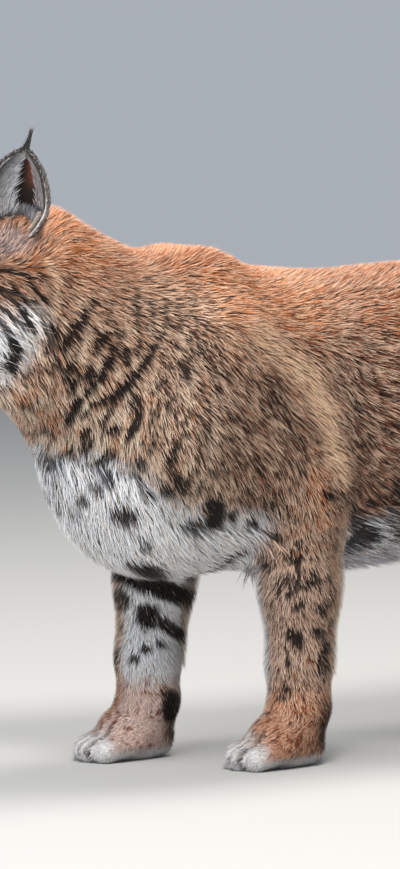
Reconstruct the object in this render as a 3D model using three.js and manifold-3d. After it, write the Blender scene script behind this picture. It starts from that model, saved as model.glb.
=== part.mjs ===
// Red lynx in winter coat: a still, life-size model, standing in mid stride on level ground.
// Millimetres, +Z up. The animal faces -X and its left side is -Y. Every surface is the outline
// of the coat. The body is one smooth form built of muscle masses, meshed in regions and parted
// into named pieces by thin cuts. Paws stand on small flats at z = 0.
import * as THREE from "three";
import Module from "manifold-3d";

const wasm = await Module();
wasm.setup();
const { Manifold, Mesh: SolidMesh } = wasm;

const vec = (x, y, z) => new THREE.Vector3(x, y, z);

// Driving dimensions of the animal
const WITHERS_HEIGHT = 480;
const GAP = 0.3;
const LEFT = -1;
const RIGHT = 1;
const SIDES = [
  ["left", LEFT],
  ["right", RIGHT],
];

// Trunk
const CHEST = { x: -75, z: 321, long: 138, wide: 98, deep: 139 };
const BRISKET = { x: -138, z: 262, long: 75, wide: 82, deep: 80 };
const RIBS = { x: 70, z: 318, long: 178, wide: 101, deep: 137 };
const LOIN = { x: 200, z: 335, long: 140, wide: 92, deep: 123 };
const RUMP = { x: 298, z: 364, long: 90, wide: 84, deep: 112 };

// Neck, from between the shoulders to behind the skull
const NECK_BASE = { x: -112, z: 335, r: 116 };
const NECK_TOP = { x: -256, z: 430, r: 83 };
const NECK_NARROW = 0.9;
const NAPE = { from: [-182, 0, 456], r: 26, to: [-236, 0, 480], end: 36 };

// Limbs: foot is the middle of the leg above the paw, stride moves the elbow or knee with it
const FORELEG = { foot: { left: -3, right: -97 }, elbow: { left: -8, right: -82 }, y: 58 };
const ELBOW_HEIGHT = 258;
const WRIST_HEIGHT = 72;
const HINDLEG = { toes: { left: 212, right: 300 }, knee: { left: 202, right: 236 }, y: 58 };
const KNEE_HEIGHT = 262;
const HOCK_HEIGHT = 134;
const HOCK_BEHIND_TOES = { left: 84, right: 66 };
const PAW_LENGTH = 103;
const PAW_TOE_RADIUS = 13;
const TOE_SPREAD = 11.5;
const SOLE_SINK = 3;

// Tail, a curve of centre points with radii
const TAIL = [
  { x: 352, z: 428, r: 30 },
  { x: 402, z: 424, r: 24 },
  { x: 440, z: 398, r: 23 },
  { x: 461, z: 356, r: 22 },
  { x: 466, z: 318, r: 15 },
];

// Head, in its own frame: origin in the middle of the skull, nose towards -X
const HEAD_CENTRE = new THREE.Vector3(-302, 0, 458);
const HEAD_TURN = THREE.MathUtils.degToRad(8);
const HEAD_PITCH = THREE.MathUtils.degToRad(-3);
const SKULL = { long: 60, wide: 56, deep: 57 };
const EYE = { x: -53, y: 28, z: 6, r: 12.5, turn: THREE.MathUtils.degToRad(20) };
const LID = { thick: 2.2, wide: 25, tall: 17 };
const NOSE = { x: -104, z: -21, long: 18, wide: 26, tall: 18 };
const MOUTH_Z = -48;
const EAR_TUFT = { long: 23, wide: 8, thick: 5 };
const EAR = { x: 5, y: 44, z: 34, tall: 75, wide: 60, deep: 30, thick: 4, lean: 18, open: 40 };

// Long coat: how deep it is over the core, and its locks
const LONG_COAT_DEPTH = 13;
const LONG_COAT_TOP = [
  [-330, 470],
  [-262, 425],
  [-190, 335],
  [-110, 275],
  [0, 232],
  [400, 232],
];
const LOCK_SINK = 7;
const RUFF_LOCK = { long: 52, wide: 22, thick: 6, free: 7 };
const CHEST_LOCK = { long: 58, wide: 29, thick: 8, free: 2 };
const BELLY_LOCK = { long: 60, wide: 31, thick: 8, free: 3 };

// Fields: negative inside, about the distance in millimetres outside

function ellipsoid([x, y, z], [rx, ry, rz], turnZ = 0, turnY = 0) {
  const toLocal = new THREE.Matrix4()
    .compose(
      new THREE.Vector3(x, y, z),
      new THREE.Quaternion().setFromEuler(new THREE.Euler(0, turnY, turnZ, "ZYX")),
      new THREE.Vector3(1, 1, 1),
    )
    .invert();
  const q = new THREE.Vector3();
  return (p) => {
    q.copy(p).applyMatrix4(toLocal);
    const near = Math.hypot(q.x / rx, q.y / ry, q.z / rz);
    const steep = Math.hypot(q.x / rx ** 2, q.y / ry ** 2, q.z / rz ** 2);
    return steep ? (near * (near - 1)) / steep : -Math.min(rx, ry, rz);
  };
}

// A rounded cone from a to b. Narrow squeezes it across Y.
function cone([ax, ay, az], ra, [bx, by, bz], rb, narrow = 1) {
  const [dx, dy, dz] = [bx - ax, (by - ay) / narrow, bz - az];
  const square = dx * dx + dy * dy + dz * dz;
  return (p) => {
    const [qx, qy, qz] = [p.x - ax, (p.y - ay) / narrow, p.z - az];
    const t = THREE.MathUtils.clamp((qx * dx + qy * dy + qz * dz) / square, 0, 1);
    return Math.hypot(qx - dx * t, qy - dy * t, qz - dz * t) - ra - (rb - ra) * t;
  };
}

function smoothUnion(a, b, blend) {
  const h = THREE.MathUtils.clamp(0.5 + (0.5 * (b - a)) / blend, 0, 1);
  return a * h + b * (1 - h) - blend * h * (1 - h);
}

// Field a with field b taken out of it
function smoothCut(a, b, blend) {
  return -smoothUnion(-a, b, blend);
}

// Joins masses in order, each [blend width, field]
function masses(...list) {
  const first = list[0][1];
  const rest = list.slice(1);
  return (p) => rest.reduce((d, [blend, field]) => smoothUnion(d, field(p), blend), first(p));
}

function mass({ x, z, long, wide, deep }) {
  return ellipsoid([x, 0, z], [long, wide, deep]);
}

function onBothSides(make) {
  return SIDES.map(([, s]) => make(s));
}

// The trunk with the shoulder blades' two low ridges
const trunk = masses(
  [0, mass(RIBS)],
  [60, mass(CHEST)],
  [50, mass(BRISKET)],
  [60, mass(LOIN)],
  [50, mass(RUMP)],
  ...onBothSides((s) => [30, cone([-92, s * 34, WITHERS_HEIGHT - 42], 40, [-132, s * 66, 320], 52)]),
);

const neck = cone(
  [NECK_BASE.x, 0, NECK_BASE.z],
  NECK_BASE.r,
  [NECK_TOP.x, 0, NECK_TOP.z],
  NECK_TOP.r,
  NECK_NARROW,
);

function foreleg(name, s) {
  const foot = FORELEG.foot[name];
  const elbow = FORELEG.elbow[name];
  const y = s * FORELEG.y;
  return masses(
    [0, cone([elbow - 87, s * 66, 385], 48, [elbow, s * 66, ELBOW_HEIGHT], 42)],
    [30, cone([-138, s * 62, 300], 54, [elbow - 8, s * 66, 262], 42)],
    [24, cone([elbow, s * 66, 250], 43, [(elbow + foot) / 2, s * 61, 165], 37)],
    [14, cone([(elbow + foot) / 2, s * 61, 165], 37, [foot, y, 95], 31)],
    [10, cone([foot, y, 95], 31, [foot, y, WRIST_HEIGHT - 18], 29)],
  );
}

// A paw whose ankle stands over x, with four toes in front and the heel behind
function paw(x, s, long) {
  const y = s * FORELEG.y;
  const front = x + 26 - long + PAW_TOE_RADIUS;
  const toes = [-1.5, -0.5, 0.5, 1.5].map((place) => {
    const back = Math.abs(place) > 1 ? 9 : 0;
    return cone(
      [front + 30 + back, y + place * TOE_SPREAD, 19],
      PAW_TOE_RADIUS + 2,
      [front + back, y + place * TOE_SPREAD * 1.06, PAW_TOE_RADIUS - SOLE_SINK],
      PAW_TOE_RADIUS,
    );
  });
  return masses(
    [0, cone([x + 1, y, 52], 28, [x - 16, y, 26], 28)],
    [12, cone([x + 4, y, 19], 22, [front + 34, y, 20], 26)],
    ...toes.map((toe) => [3.5, toe]),
  );
}

function hindleg(name, s) {
  const knee = HINDLEG.knee[name];
  const toes = HINDLEG.toes[name];
  const hock = toes + HOCK_BEHIND_TOES[name];
  const y = s * HINDLEG.y;
  return masses(
    [0, cone([268, s * 40, 376], 84, [knee, s * 62, KNEE_HEIGHT], 50, 0.8)],
    [40, cone([328, s * 46, 360], 56, [hock - 10, s * 58, 196], 27, 0.95)],
    [26, cone([knee + 2, s * 62, 250], 46, [hock - 4, y, HOCK_HEIGHT + 4], 24)],
    [10, cone([hock + 4, y, HOCK_HEIGHT + 10], 17, [hock, y, HOCK_HEIGHT - 14], 21)],
    [12, cone([hock, y, HOCK_HEIGHT - 8], 22, [toes + 62, y, 62], 22)],
    [8, cone([toes + 62, y, 62], 22, [toes + 52, y, 40], 25)],
  );
}

const tail = masses(
  ...TAIL.slice(1).map((end, i) => {
    const start = TAIL[i];
    return [i ? 10 : 0, cone([start.x, 0, start.z], start.r, [end.x, 0, end.z], end.r)];
  }),
);

const headFrame = new THREE.Matrix4().compose(
  HEAD_CENTRE,
  new THREE.Quaternion().setFromEuler(new THREE.Euler(0, HEAD_PITCH, HEAD_TURN, "ZYX")),
  new THREE.Vector3(1, 1, 1),
);
const bodyToHead = headFrame.clone().invert();

// The head's masses in its own frame: skull, forehead, bridge, muzzle, pads, chin, jaws, cheeks,
// brows and ear bases, with a hollow in front of each eye
function headForm() {
  const solid = masses(
    [0, ellipsoid([0, 0, 0], [SKULL.long, SKULL.wide, SKULL.deep])],
    [18, ellipsoid([-34, 0, 12], [37, 42, 36])],
    [10, cone([-54, 0, 6], 26, [-95, 0, -20], 13.5, 0.78)],
    [12, ellipsoid([-70, 0, -32], [32, 37, 27])],
    ...onBothSides((s) => [5, ellipsoid([-89, s * 15, -36], [23, 18.5, 16.5])]),
    [8, ellipsoid([-88, 0, -55], [18, 19, 14])],
    ...onBothSides((s) => [14, cone([-80, s * 12, -52], 14, [-20, s * 34, -46], 30)]),
    ...onBothSides((s) => [16, ellipsoid([-30, s * 37, -14], [34, 26, 34])]),
    ...onBothSides((s) => [10, cone([-55, s * 20, 26], 8, [-32, s * 39, 22], 12)]),
    ...onBothSides((s) => [22, ellipsoid([-2, s * 44, -32], [34, 25, 42])]),
    ...onBothSides((s) => [14, cone([14, s * 32, 20], 26, [18, s * 42, 34], 14)]),
  );
  const hollows = onBothSides((s) =>
    ellipsoid([EYE.x - 13, s * (EYE.y + 1), EYE.z], [11, 14, 10]),
  );
  return (p) => hollows.reduce((d, hollow) => smoothCut(d, hollow(p), 6), solid(p));
}
const headLocal = headForm();
const inHead = new THREE.Vector3();
const head = (p) => headLocal(inHead.copy(p).applyMatrix4(bodyToHead));

const forelegs = Object.fromEntries(SIDES.map(([name, s]) => [name, foreleg(name, s)]));
const hindlegs = Object.fromEntries(SIDES.map(([name, s]) => [name, hindleg(name, s)]));
const forepaws = Object.fromEntries(
  SIDES.map(([name, s]) => [name, paw(FORELEG.foot[name], s, PAW_LENGTH)]),
);
const hindpaws = Object.fromEntries(
  SIDES.map(([name, s]) => [name, paw(HINDLEG.toes[name] + 52, s, PAW_LENGTH + 2)]),
);

const body = masses(
  [0, trunk],
  [46, neck],
  [18, cone(NAPE.from, NAPE.r, NAPE.to, NAPE.end)],
  ...SIDES.map(([name]) => [22, forelegs[name]]),
  ...SIDES.map(([name]) => [24, hindlegs[name]]),
  ...SIDES.map(([name]) => [10, forepaws[name]]),
  ...SIDES.map(([name]) => [10, hindpaws[name]]),
  [16, tail],
  [18, head],
);

// The height below which the coat is long, at x along the body
function longCoatTop(x) {
  const next = LONG_COAT_TOP.findIndex(([at]) => at > x);
  if (next < 1) return LONG_COAT_TOP.at(next ? -1 : 0)[1];
  const [[x0, z0], [x1, z1]] = [LONG_COAT_TOP[next - 1], LONG_COAT_TOP[next]];
  return THREE.MathUtils.mapLinear(x, x0, x1, z0, z1);
}

// How far the core lies below the tips: nothing on the face, most on throat, chest and belly
function longCoatDepth(p) {
  const down = THREE.MathUtils.smoothstep(longCoatTop(p.x) - p.z, 0, 50);
  const behindFace = THREE.MathUtils.smoothstep(p.x, -355, -325);
  return LONG_COAT_DEPTH * down * behindFace;
}

const core = (p) => body(p) + longCoatDepth(p);

// Meshing

const CORNERS = [0, 1, 2, 3, 4, 5, 6, 7].map((n) => [n & 1, (n >> 1) & 1, (n >> 2) & 1]);
const EDGES = CORNERS.flatMap((a, i) =>
  CORNERS.map((b, j) => [i, j]).filter(
    ([m, n]) => m < n && Math.abs(a[0] - CORNERS[n][0]) + Math.abs(a[1] - CORNERS[n][1]) +
      Math.abs(a[2] - CORNERS[n][2]) === 1,
  ),
);

// The four cells round a grid edge that runs along each axis, in turn about it
const ROUND_EDGE = [
  [[0, 0, 0], [0, -1, 0], [0, -1, -1], [0, 0, -1]],
  [[0, 0, 0], [0, 0, -1], [-1, 0, -1], [-1, 0, 0]],
  [[0, 0, 0], [-1, 0, 0], [-1, -1, 0], [0, -1, 0]],
];

function slope(field, p) {
  const h = 0.5;
  const at = (x, y, z) => field(vec(p.x + x, p.y + y, p.z + z));
  return vec(
    at(h, 0, 0) - at(-h, 0, 0),
    at(0, h, 0) - at(0, -h, 0),
    at(0, 0, h) - at(0, 0, -h),
  ).divideScalar(2 * h);
}

// Grid places from low to high, spaced fine at the low end and coarse at the high end
function ticks(low, high, fine, coarse = fine) {
  const mean = (fine + coarse) / 2;
  const count = Math.ceil((high - low) / mean);
  return Array.from({ length: count + 1 }, (_, n) => {
    const t = n / count;
    return low + ((high - low) * (fine * t + ((coarse - fine) * t * t) / 2)) / mean;
  });
}

// Grid squares whose inside and outside corners alternate would pinch the surface. The shallower
// inside corner of each is moved outside.
function openPinches(values, size) {
  const along = [1, size[0], size[0] * size[1]];
  const pinched = [];
  for (let n = 0; n + along[0] + along[1] + along[2] < values.length; n++)
    for (const [a, b] of [[0, 1], [1, 2], [2, 0]]) {
      const square = [n, n + along[a], n + along[a] + along[b], n + along[b]];
      const [p, q, r, s] = square.map((corner) => values[corner] < 0);
      if (p !== r || q !== s || p === q) continue;
      const [c, d] = p ? [square[0], square[2]] : [square[1], square[3]];
      pinched.push(values[c] > values[d] ? c : d);
    }
  for (const corner of pinched) values[corner] = 0.01;
  if (pinched.length) openPinches(values, size);
}

// The closed surface of a field on a grid, one point in each cell that the surface crosses
function meshField(field, ...grid) {
  const size = grid.map((places) => places.length);
  const step = Math.min(...grid.map((places) => places[1] - places[0]));
  const place = (i, j, k) => vec(grid[0][i], grid[1][j], grid[2][k]);
  const index = (i, j, k) => i + size[0] * (j + size[1] * k);
  const cells = size.map((count) => [...Array(count - 1).keys()]);
  const values = new Float32Array(size[0] * size[1] * size[2]);
  for (let k = 0; k < size[2]; k++)
    for (let j = 0; j < size[1]; j++)
      for (let i = 0; i < size[0]; i++) {
        const rim = [i, j, k].some((n, axis) => n === 0 || n === size[axis] - 1);
        values[index(i, j, k)] = rim ? step / 2 : field(place(i, j, k));
      }
  openPinches(values, size);
  const points = [];
  const pointOf = new Map();
  const addPoint = (i, j, k) => {
    const at = CORNERS.map(([a, b, c]) => values[index(i + a, j + b, k + c)]);
    const sum = vec(0, 0, 0);
    let crossings = 0;
    for (const [a, b] of EDGES) {
      if (at[a] < 0 === at[b] < 0) continue;
      const t = at[a] / (at[a] - at[b]);
      sum.add(vec(...CORNERS[a]).lerp(vec(...CORNERS[b]), t));
      crossings++;
    }
    if (!crossings) return;
    const low = place(i, j, k);
    const p = place(i + 1, j + 1, k + 1).sub(low).multiply(sum.divideScalar(crossings)).add(low);
    if ([i, j, k].every((n, axis) => n > 0 && n < size[axis] - 2)) {
      const normal = slope(field, p);
      const off = field(p) / Math.max(normal.lengthSq(), 0.2);
      p.addScaledVector(normal, -THREE.MathUtils.clamp(off, -step / 3, step / 3));
    }
    pointOf.set(index(i, j, k), points.length / 3);
    points.push(p.x, p.y, p.z);
  };
  for (const k of cells[2]) for (const j of cells[1]) for (const i of cells[0]) addPoint(i, j, k);
  const faces = [];
  const point = (n) => vec(points[3 * n], points[3 * n + 1], points[3 * n + 2]);
  const addQuad = (quad, outward) => {
    const [a, b, c, d] = (outward ? quad : quad.slice().reverse()).map((n) => pointOf.get(n));
    const across = point(a).distanceTo(point(c)) < point(b).distanceTo(point(d));
    faces.push(...(across ? [a, b, c, a, c, d] : [b, c, d, b, d, a]));
  };
  const addQuadsAt = (i, j, k) => {
    const here = values[index(i, j, k)] < 0;
    for (const axis of [0, 1, 2]) {
      const next = [i, j, k].map((n, other) => n + (axis === other ? 1 : 0));
      if (here === values[index(...next)] < 0) continue;
      addQuad(ROUND_EDGE[axis].map(([a, b, c]) => index(i + a, j + b, k + c)), here);
    }
  };
  for (const k of cells[2]) for (const j of cells[1]) for (const i of cells[0]) addQuadsAt(i, j, k);
  return manifoldOf(points, faces);
}

function manifoldOf(points, faces) {
  return new Manifold(
    new SolidMesh({
      numProp: 3,
      vertProperties: new Float32Array(points),
      triVerts: new Uint32Array(faces),
    }),
  );
}

// The first point of a field's surface that a straight line meets
function castOnto(field, from, direction) {
  const p = from.clone();
  const heading = direction.clone().normalize();
  for (let steps = 0; steps < 120 && field(p) > 0.1; steps++)
    p.addScaledVector(heading, Math.max(0.7 * field(p), 0.1));
  return p;
}

// Seeded numbers from -1 to 1
function wobbler(seed) {
  let state = seed;
  return () => {
    state = (state * 1664525 + 1013904223) % 4294967296;
    return state / 2147483648 - 1;
  };
}

// A flat, tapered lock of hair through stations, each a place with its way along and outwards.
// The last station is the tip.
function lock(stations, wide, thick) {
  const shares = [0.7, 1, 0.66];
  const points = [];
  shares.forEach((share, n) => {
    const { at, along, outward } = stations[n];
    const out = outward.clone().cross(along).normalize().multiplyScalar((share * wide) / 2);
    const up = outward.clone().multiplyScalar((share * thick) / 2);
    for (const step of [out, up, out.clone().negate(), up.clone().negate()])
      points.push(...at.clone().add(step).toArray());
  });
  points.push(...stations[shares.length].at.toArray());
  const faces = [0, 3, 2, 0, 2, 1];
  const tip = 4 * shares.length;
  for (let ring = 0; ring < shares.length; ring++)
    for (let n = 0; n < 4; n++) {
      const [a, b] = [4 * ring + n, 4 * ring + ((n + 1) % 4)];
      if (ring === shares.length - 1) faces.push(a, b, tip);
      else faces.push(a, b, b + 4, a, b + 4, a + 4);
    }
  return manifoldOf(points, faces);
}

// A lock rooted in the core, which runs over the core the way it is combed and rises to its tip
function lyingLock(root, comb, { long, wide, thick }, rise) {
  const p = root.clone();
  const stations = [-LOCK_SINK, 0.55 * rise, 0.9 * rise, rise].map((height) => {
    const outward = slope(core, p).normalize();
    const along = comb.clone().addScaledVector(outward, -comb.dot(outward)).normalize();
    const at = p.clone().addScaledVector(outward, height);
    p.addScaledVector(along, long / 3);
    p.addScaledVector(slope(core, p).normalize(), -core(p));
    return { at, along, outward };
  });
  return lock(stations, wide, thick);
}

// Locks on the core where rays meet it, each [start, direction, comb]
function locksOn(rays, size, seed) {
  const wobble = wobbler(seed);
  return rays.map(([start, direction, comb]) => {
    const root = castOnto(core, start, direction);
    const way = comb.clone().add(vec(wobble(), wobble(), wobble()).multiplyScalar(0.14));
    const long = size.long * (1 + 0.12 * wobble());
    const rise = Math.max(longCoatDepth(root), size.thick) + size.free * (1 + 0.4 * wobble());
    return lyingLock(root, way, { ...size, long }, rise);
  });
}

// A three.js geometry as a solid, after its shared points are merged by place
function solidOf(geometry, matrix = new THREE.Matrix4()) {
  const g = geometry.clone().applyMatrix4(matrix);
  const position = g.getAttribute("position");
  const corners = g.index ? [...g.index.array] : [...Array(position.count).keys()];
  const known = new Map();
  const points = [];
  const merged = corners.map((n) => {
    const p = [position.getX(n), position.getY(n), position.getZ(n)];
    const key = p.map((value) => Math.round(value * 1000)).join();
    if (!known.has(key)) {
      known.set(key, known.size);
      points.push(...p);
    }
    return known.get(key);
  });
  const faces = [];
  for (let i = 0; i < merged.length; i += 3) {
    const [a, b, c] = merged.slice(i, i + 3);
    if (a !== b && b !== c && a !== c) faces.push(a, b, c);
  }
  return manifoldOf(points, faces);
}

function largest(solid) {
  return solid.decompose().sort((a, b) => b.volume() - a.volume())[0];
}

// A big block whose one face is the plane through a point, filling the side that normal points to
function beyond(point, normal, gap = 0) {
  const reach = 900;
  const turn = new THREE.Quaternion().setFromUnitVectors(
    new THREE.Vector3(0, 0, 1),
    normal.clone().normalize(),
  );
  const start = point.clone().addScaledVector(normal.clone().normalize(), gap);
  const matrix = new THREE.Matrix4().compose(start, turn, new THREE.Vector3(1, 1, 1));
  const block = new THREE.BoxGeometry(2 * reach, 2 * reach, reach).translate(0, 0, reach / 2);
  return solidOf(block, matrix);
}

// A closed smooth outline through points, moved outwards by grow
function smoothOutline(points, grow) {
  const curve = new THREE.CatmullRomCurve3(points.map(([x, z]) => vec(x, z, 0)), true);
  const turn = THREE.ShapeUtils.area(points.map(([x, y]) => ({ x, y }))) > 0 ? 1 : -1;
  const count = 3 * points.length;
  return new THREE.Shape(
    Array.from({ length: count }, (_, n) => {
      const along = curve.getTangent(n / count).multiplyScalar(grow * turn);
      const p = curve.getPoint(n / count);
      return new THREE.Vector2(p.x + along.y, p.y - along.x);
    }),
  );
}

// Parts of each leg lie inside a side outline and outside a sloping plane along the trunk
function legCutter(outline, s, slopeFrom, slopeTo, grow) {
  const depth = 160;
  const slab = new THREE.ExtrudeGeometry(smoothOutline(outline, grow), {
    depth,
    bevelEnabled: false,
  });
  const place = new THREE.Matrix4()
    .makeTranslation(0, (depth * (s + 1)) / 2, 0)
    .multiply(new THREE.Matrix4().makeRotationX(Math.PI / 2));
  const [y0, z0] = slopeFrom;
  const [y1, z1] = slopeTo;
  const outward = vec(0, s * (z1 - z0), -(y1 - y0));
  return solidOf(slab, place).intersect(beyond(vec(0, s * y0, z0), outward, -grow));
}

const FLOOR = beyond(vec(0, 0, 0), vec(0, 0, 1));
const half = GAP / 2;

function foreCutter(name, s, grow) {
  const foot = FORELEG.foot[name];
  const elbow = FORELEG.elbow[name];
  const outline = [
    [foot + 75, -5], [elbow + 72, 190], [elbow + 40, 268], [elbow - 40, 418], [elbow - 84, 452],
    [-168, 412], [-196, 330], [-172, 252], [foot - 82, 190], [foot - 120, -5],
  ];
  return legCutter(outline, s, [22, 182], [96, 345], grow);
}

function hindCutter(name, s, grow) {
  const toes = HINDLEG.toes[name];
  const knee = HINDLEG.knee[name];
  const outline = [
    [toes + 140, -5], [toes + 140, 170], [392, 300], [384, 380], [332, 446], [262, 462],
    [knee - 16, 400], [knee - 66, 300], [knee - 62, 236], [toes - 60, 120], [toes - 60, -5],
  ];
  return legCutter(outline, s, [20, 212], [84, 380], grow);
}

const pawTop = (x) => [vec(x, 0, 60), vec(0.12, 0, 1)];
const neckBase = [vec(-158, 0, 348), vec(-0.86, 0, 0.5)];
const neckTop = [vec(-262, 0, 432), vec(-0.93, 0, 0.36)];
const tailRoot = [vec(374, 0, 424), vec(1, 0, 0.6)];

const behind = ([point, normal]) => beyond(point, normal.clone().negate(), half);
const ahead = ([point, normal]) => beyond(point, normal, half);

// Nodes

const shades = {
  coat_rufous: { color: 0x9c6b48, roughness: 0.85 },
  coat_paw: { color: 0xb98e6c, roughness: 0.85 },
  ear: { color: 0x4a4440, roughness: 0.85 },
  eye: { color: 0xb07a24, roughness: 0.1 },
  nose: { color: 0x7a4a40, roughness: 0.5 },
};
const materials = Object.fromEntries(
  Object.entries(shades).map(([name, look]) => [
    name,
    new THREE.MeshStandardMaterial({ ...look, metalness: 0 }),
  ]),
);
const model = new THREE.Group();

function addNode(name, solid, material) {
  const { vertProperties, triVerts } = largest(solid).getMesh();
  const geometry = new THREE.BufferGeometry();
  geometry.setAttribute("position", new THREE.BufferAttribute(vertProperties, 3));
  geometry.setIndex(new THREE.BufferAttribute(triVerts, 1));
  geometry.computeVertexNormals();
  const mesh = new THREE.Mesh(geometry, materials[material]);
  mesh.name = name;
  model.add(mesh);
}

function range(from, to, count) {
  return Array.from({ length: count }, (_, n) => from + ((to - from) * n) / (count - 1));
}

// Rays onto the front of the throat, combed down
function throatRays() {
  return range(348, 290, 3).flatMap((z, row) =>
    range(-66, 66, 5 + (row % 2)).map((y) => [vec(-500, y, z), vec(1, 0, 0), vec(0.2, y / 300, -1)]),
  );
}

// Rays onto the brisket from in front and below, combed down and then back
function brisketRays() {
  return [5, 32, 58].flatMap((degrees, row) => {
    const angle = THREE.MathUtils.degToRad(degrees);
    const inwards = vec(Math.cos(angle), 0, Math.sin(angle));
    const reach = 56 - 14 * row;
    return range(-reach, reach, 6 - row).map((y) => [
      vec(BRISKET.x, y, BRISKET.z).addScaledVector(inwards, -300),
      inwards,
      vec(0.25 + 0.4 * row, y / 300, -1),
    ]);
  });
}

// Rays onto the belly from below, combed back and a little to the sides
function bellyRays() {
  return range(32, 176, 5).flatMap((x, row) =>
    range(-58, 58, 4 + (row % 2)).map((y) => [vec(x, y, 60), vec(0, 0, 1), vec(1, y / 200, 0)]),
  );
}

function addTrunk() {
  const locks = locksOn([...brisketRays(), ...bellyRays()], BELLY_LOCK, 11);
  let solid = meshField(core, ticks(-270, 450, 34), ticks(-156, 156, 29), ticks(140, 524, 32));
  solid = Manifold.union([solid, ...locks])
    .intersect(behind(neckBase))
    .intersect(behind(tailRoot));
  for (const [name, s] of SIDES)
    solid = solid.subtract(foreCutter(name, s, half)).subtract(hindCutter(name, s, half));
  addNode("torso", solid, "coat_rufous");
}

function addNeck() {
  const locks = locksOn(throatRays(), CHEST_LOCK, 5);
  let solid = meshField(core, ticks(-350, -60, 27), ticks(-144, 144, 26), ticks(150, 564, 27));
  solid = Manifold.union([solid, ...locks])
    .intersect(ahead(neckBase))
    .intersect(behind(neckTop));
  for (const [name, s] of SIDES) solid = solid.subtract(foreCutter(name, s, half));
  addNode("neck", solid, "coat_rufous");
}

function addLegs() {
  for (const [name, s] of SIDES) {
    const across = (from, to, step) => (s === LEFT ? ticks(-to, -from, step) : ticks(from, to, step));
    const foot = FORELEG.foot[name];
    const fore = meshField(body, ticks(-230, 110, 19), across(-5, 150, 19), ticks(22, 480, 18, 25));
    const foreSolid = fore.intersect(foreCutter(name, s, -half)).intersect(ahead(pawTop(foot)));
    addNode("foreleg_" + name, foreSolid, "coat_rufous");
    const heel = HINDLEG.toes[name] + 52;
    const hind = meshField(body, ticks(100, 440, 18), across(-5, 150, 18), ticks(20, 490, 17, 25));
    const hindSolid = hind.intersect(hindCutter(name, s, -half)).intersect(ahead(pawTop(heel)));
    addNode("hindleg_" + name, hindSolid, "coat_rufous");
    for (const [kind, x] of [["forepaw_", foot], ["hindpaw_", heel]]) {
      const solid = meshField(
        body,
        ticks(x - 100, x + 60, 13, 18),
        across(FORELEG.y - 45, FORELEG.y + 45, TOE_SPREAD / 2),
        ticks(-17, 90, 12, 18),
      );
      addNode(kind + name, solid.intersect(behind(pawTop(x))).intersect(FLOOR), "coat_paw");
    }
  }
}

function addTail() {
  const solid = meshField(body, ticks(340, 500, 15), ticks(-60, 60, 15), ticks(280, 480, 15));
  addNode("tail", solid.intersect(ahead(tailRoot)), "coat_rufous");
}

function placed(x, y, z, turnZ = 0, turnY = 0) {
  return headFrame.clone().multiply(
    new THREE.Matrix4().compose(
      vec(x, y, z),
      new THREE.Quaternion().setFromEuler(new THREE.Euler(0, turnY, turnZ, "ZYX")),
      vec(1, 1, 1),
    ),
  );
}

function ball(radius, matrix, sides) {
  return solidOf(new THREE.SphereGeometry(radius, sides, Math.round(sides * 0.6)), matrix);
}

// An almond prism along -X: where two cylinders, one high and one low, overlap
function almond(wide, tall, matrix) {
  const radius = (wide ** 2 + tall ** 2) / (4 * tall);
  const length = 40;
  const sides = 30;
  const upright = new THREE.Matrix4().makeRotationZ(Math.PI / 2);
  const lens = [1, -1].map((up) => {
    const lift = new THREE.Matrix4().makeTranslation(-length / 2, 0, up * (radius - tall / 2));
    const spot = matrix.clone().multiply(lift).multiply(upright);
    return solidOf(new THREE.CylinderGeometry(radius, radius, length, sides), spot);
  });
  return lens[0].intersect(lens[1]);
}

function eyeFrame(s) {
  return placed(EYE.x, s * EYE.y, EYE.z, s * -EYE.turn);
}

const headGrid = [ticks(-440, -222, 7.5, 17), ticks(-108, 108, 10), ticks(332, 560, 9.5)];

// Rays onto the back of each cheek, from below the ear round to the throat, combed back and down
function ruffRays() {
  const toBody = (x, y, z) => vec(x, y, z).applyMatrix4(headFrame);
  return [-30, -6].flatMap((front, row) =>
    SIDES.flatMap(([, s]) =>
      range(2 - 4 * row, 50 + 22 * row, 4 + row).map((degrees) => {
        const angle = THREE.MathUtils.degToRad(degrees);
        const x = front - 20 * Math.sin(angle);
        const start = toBody(x, s * 150 * Math.cos(angle), -20 - 150 * Math.sin(angle));
        const middle = toBody(x, 0, -20);
        const comb = vec(0.75 - 0.3 * Math.sin(angle), s * 0.1, -0.55 - 0.35 * Math.sin(angle));
        return [start, middle.sub(start), comb.transformDirection(headFrame)];
      }),
    ),
  );
}

function addHead() {
  const locks = locksOn(ruffRays(), RUFF_LOCK, 3);
  let solid = Manifold.union([meshField(core, ...headGrid), ...locks]).intersect(ahead(neckTop));
  for (const [name, s] of SIDES) {
    const frame = eyeFrame(s);
    solid = solid
      .add(ball(EYE.r + LID.thick, frame, 15))
      .subtract(ball(EYE.r + GAP, frame, 14))
      .subtract(almond(LID.wide, LID.tall, frame));
    addNode("eye_" + name, ball(EYE.r, frame, 14), "eye");
  }
  solid = solid.subtract(noseSolid(GAP)).subtract(mouthGroove());
  addNode("nose", noseSolid(0), "nose");
  addNode("head", solid, "coat_rufous");
}

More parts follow.
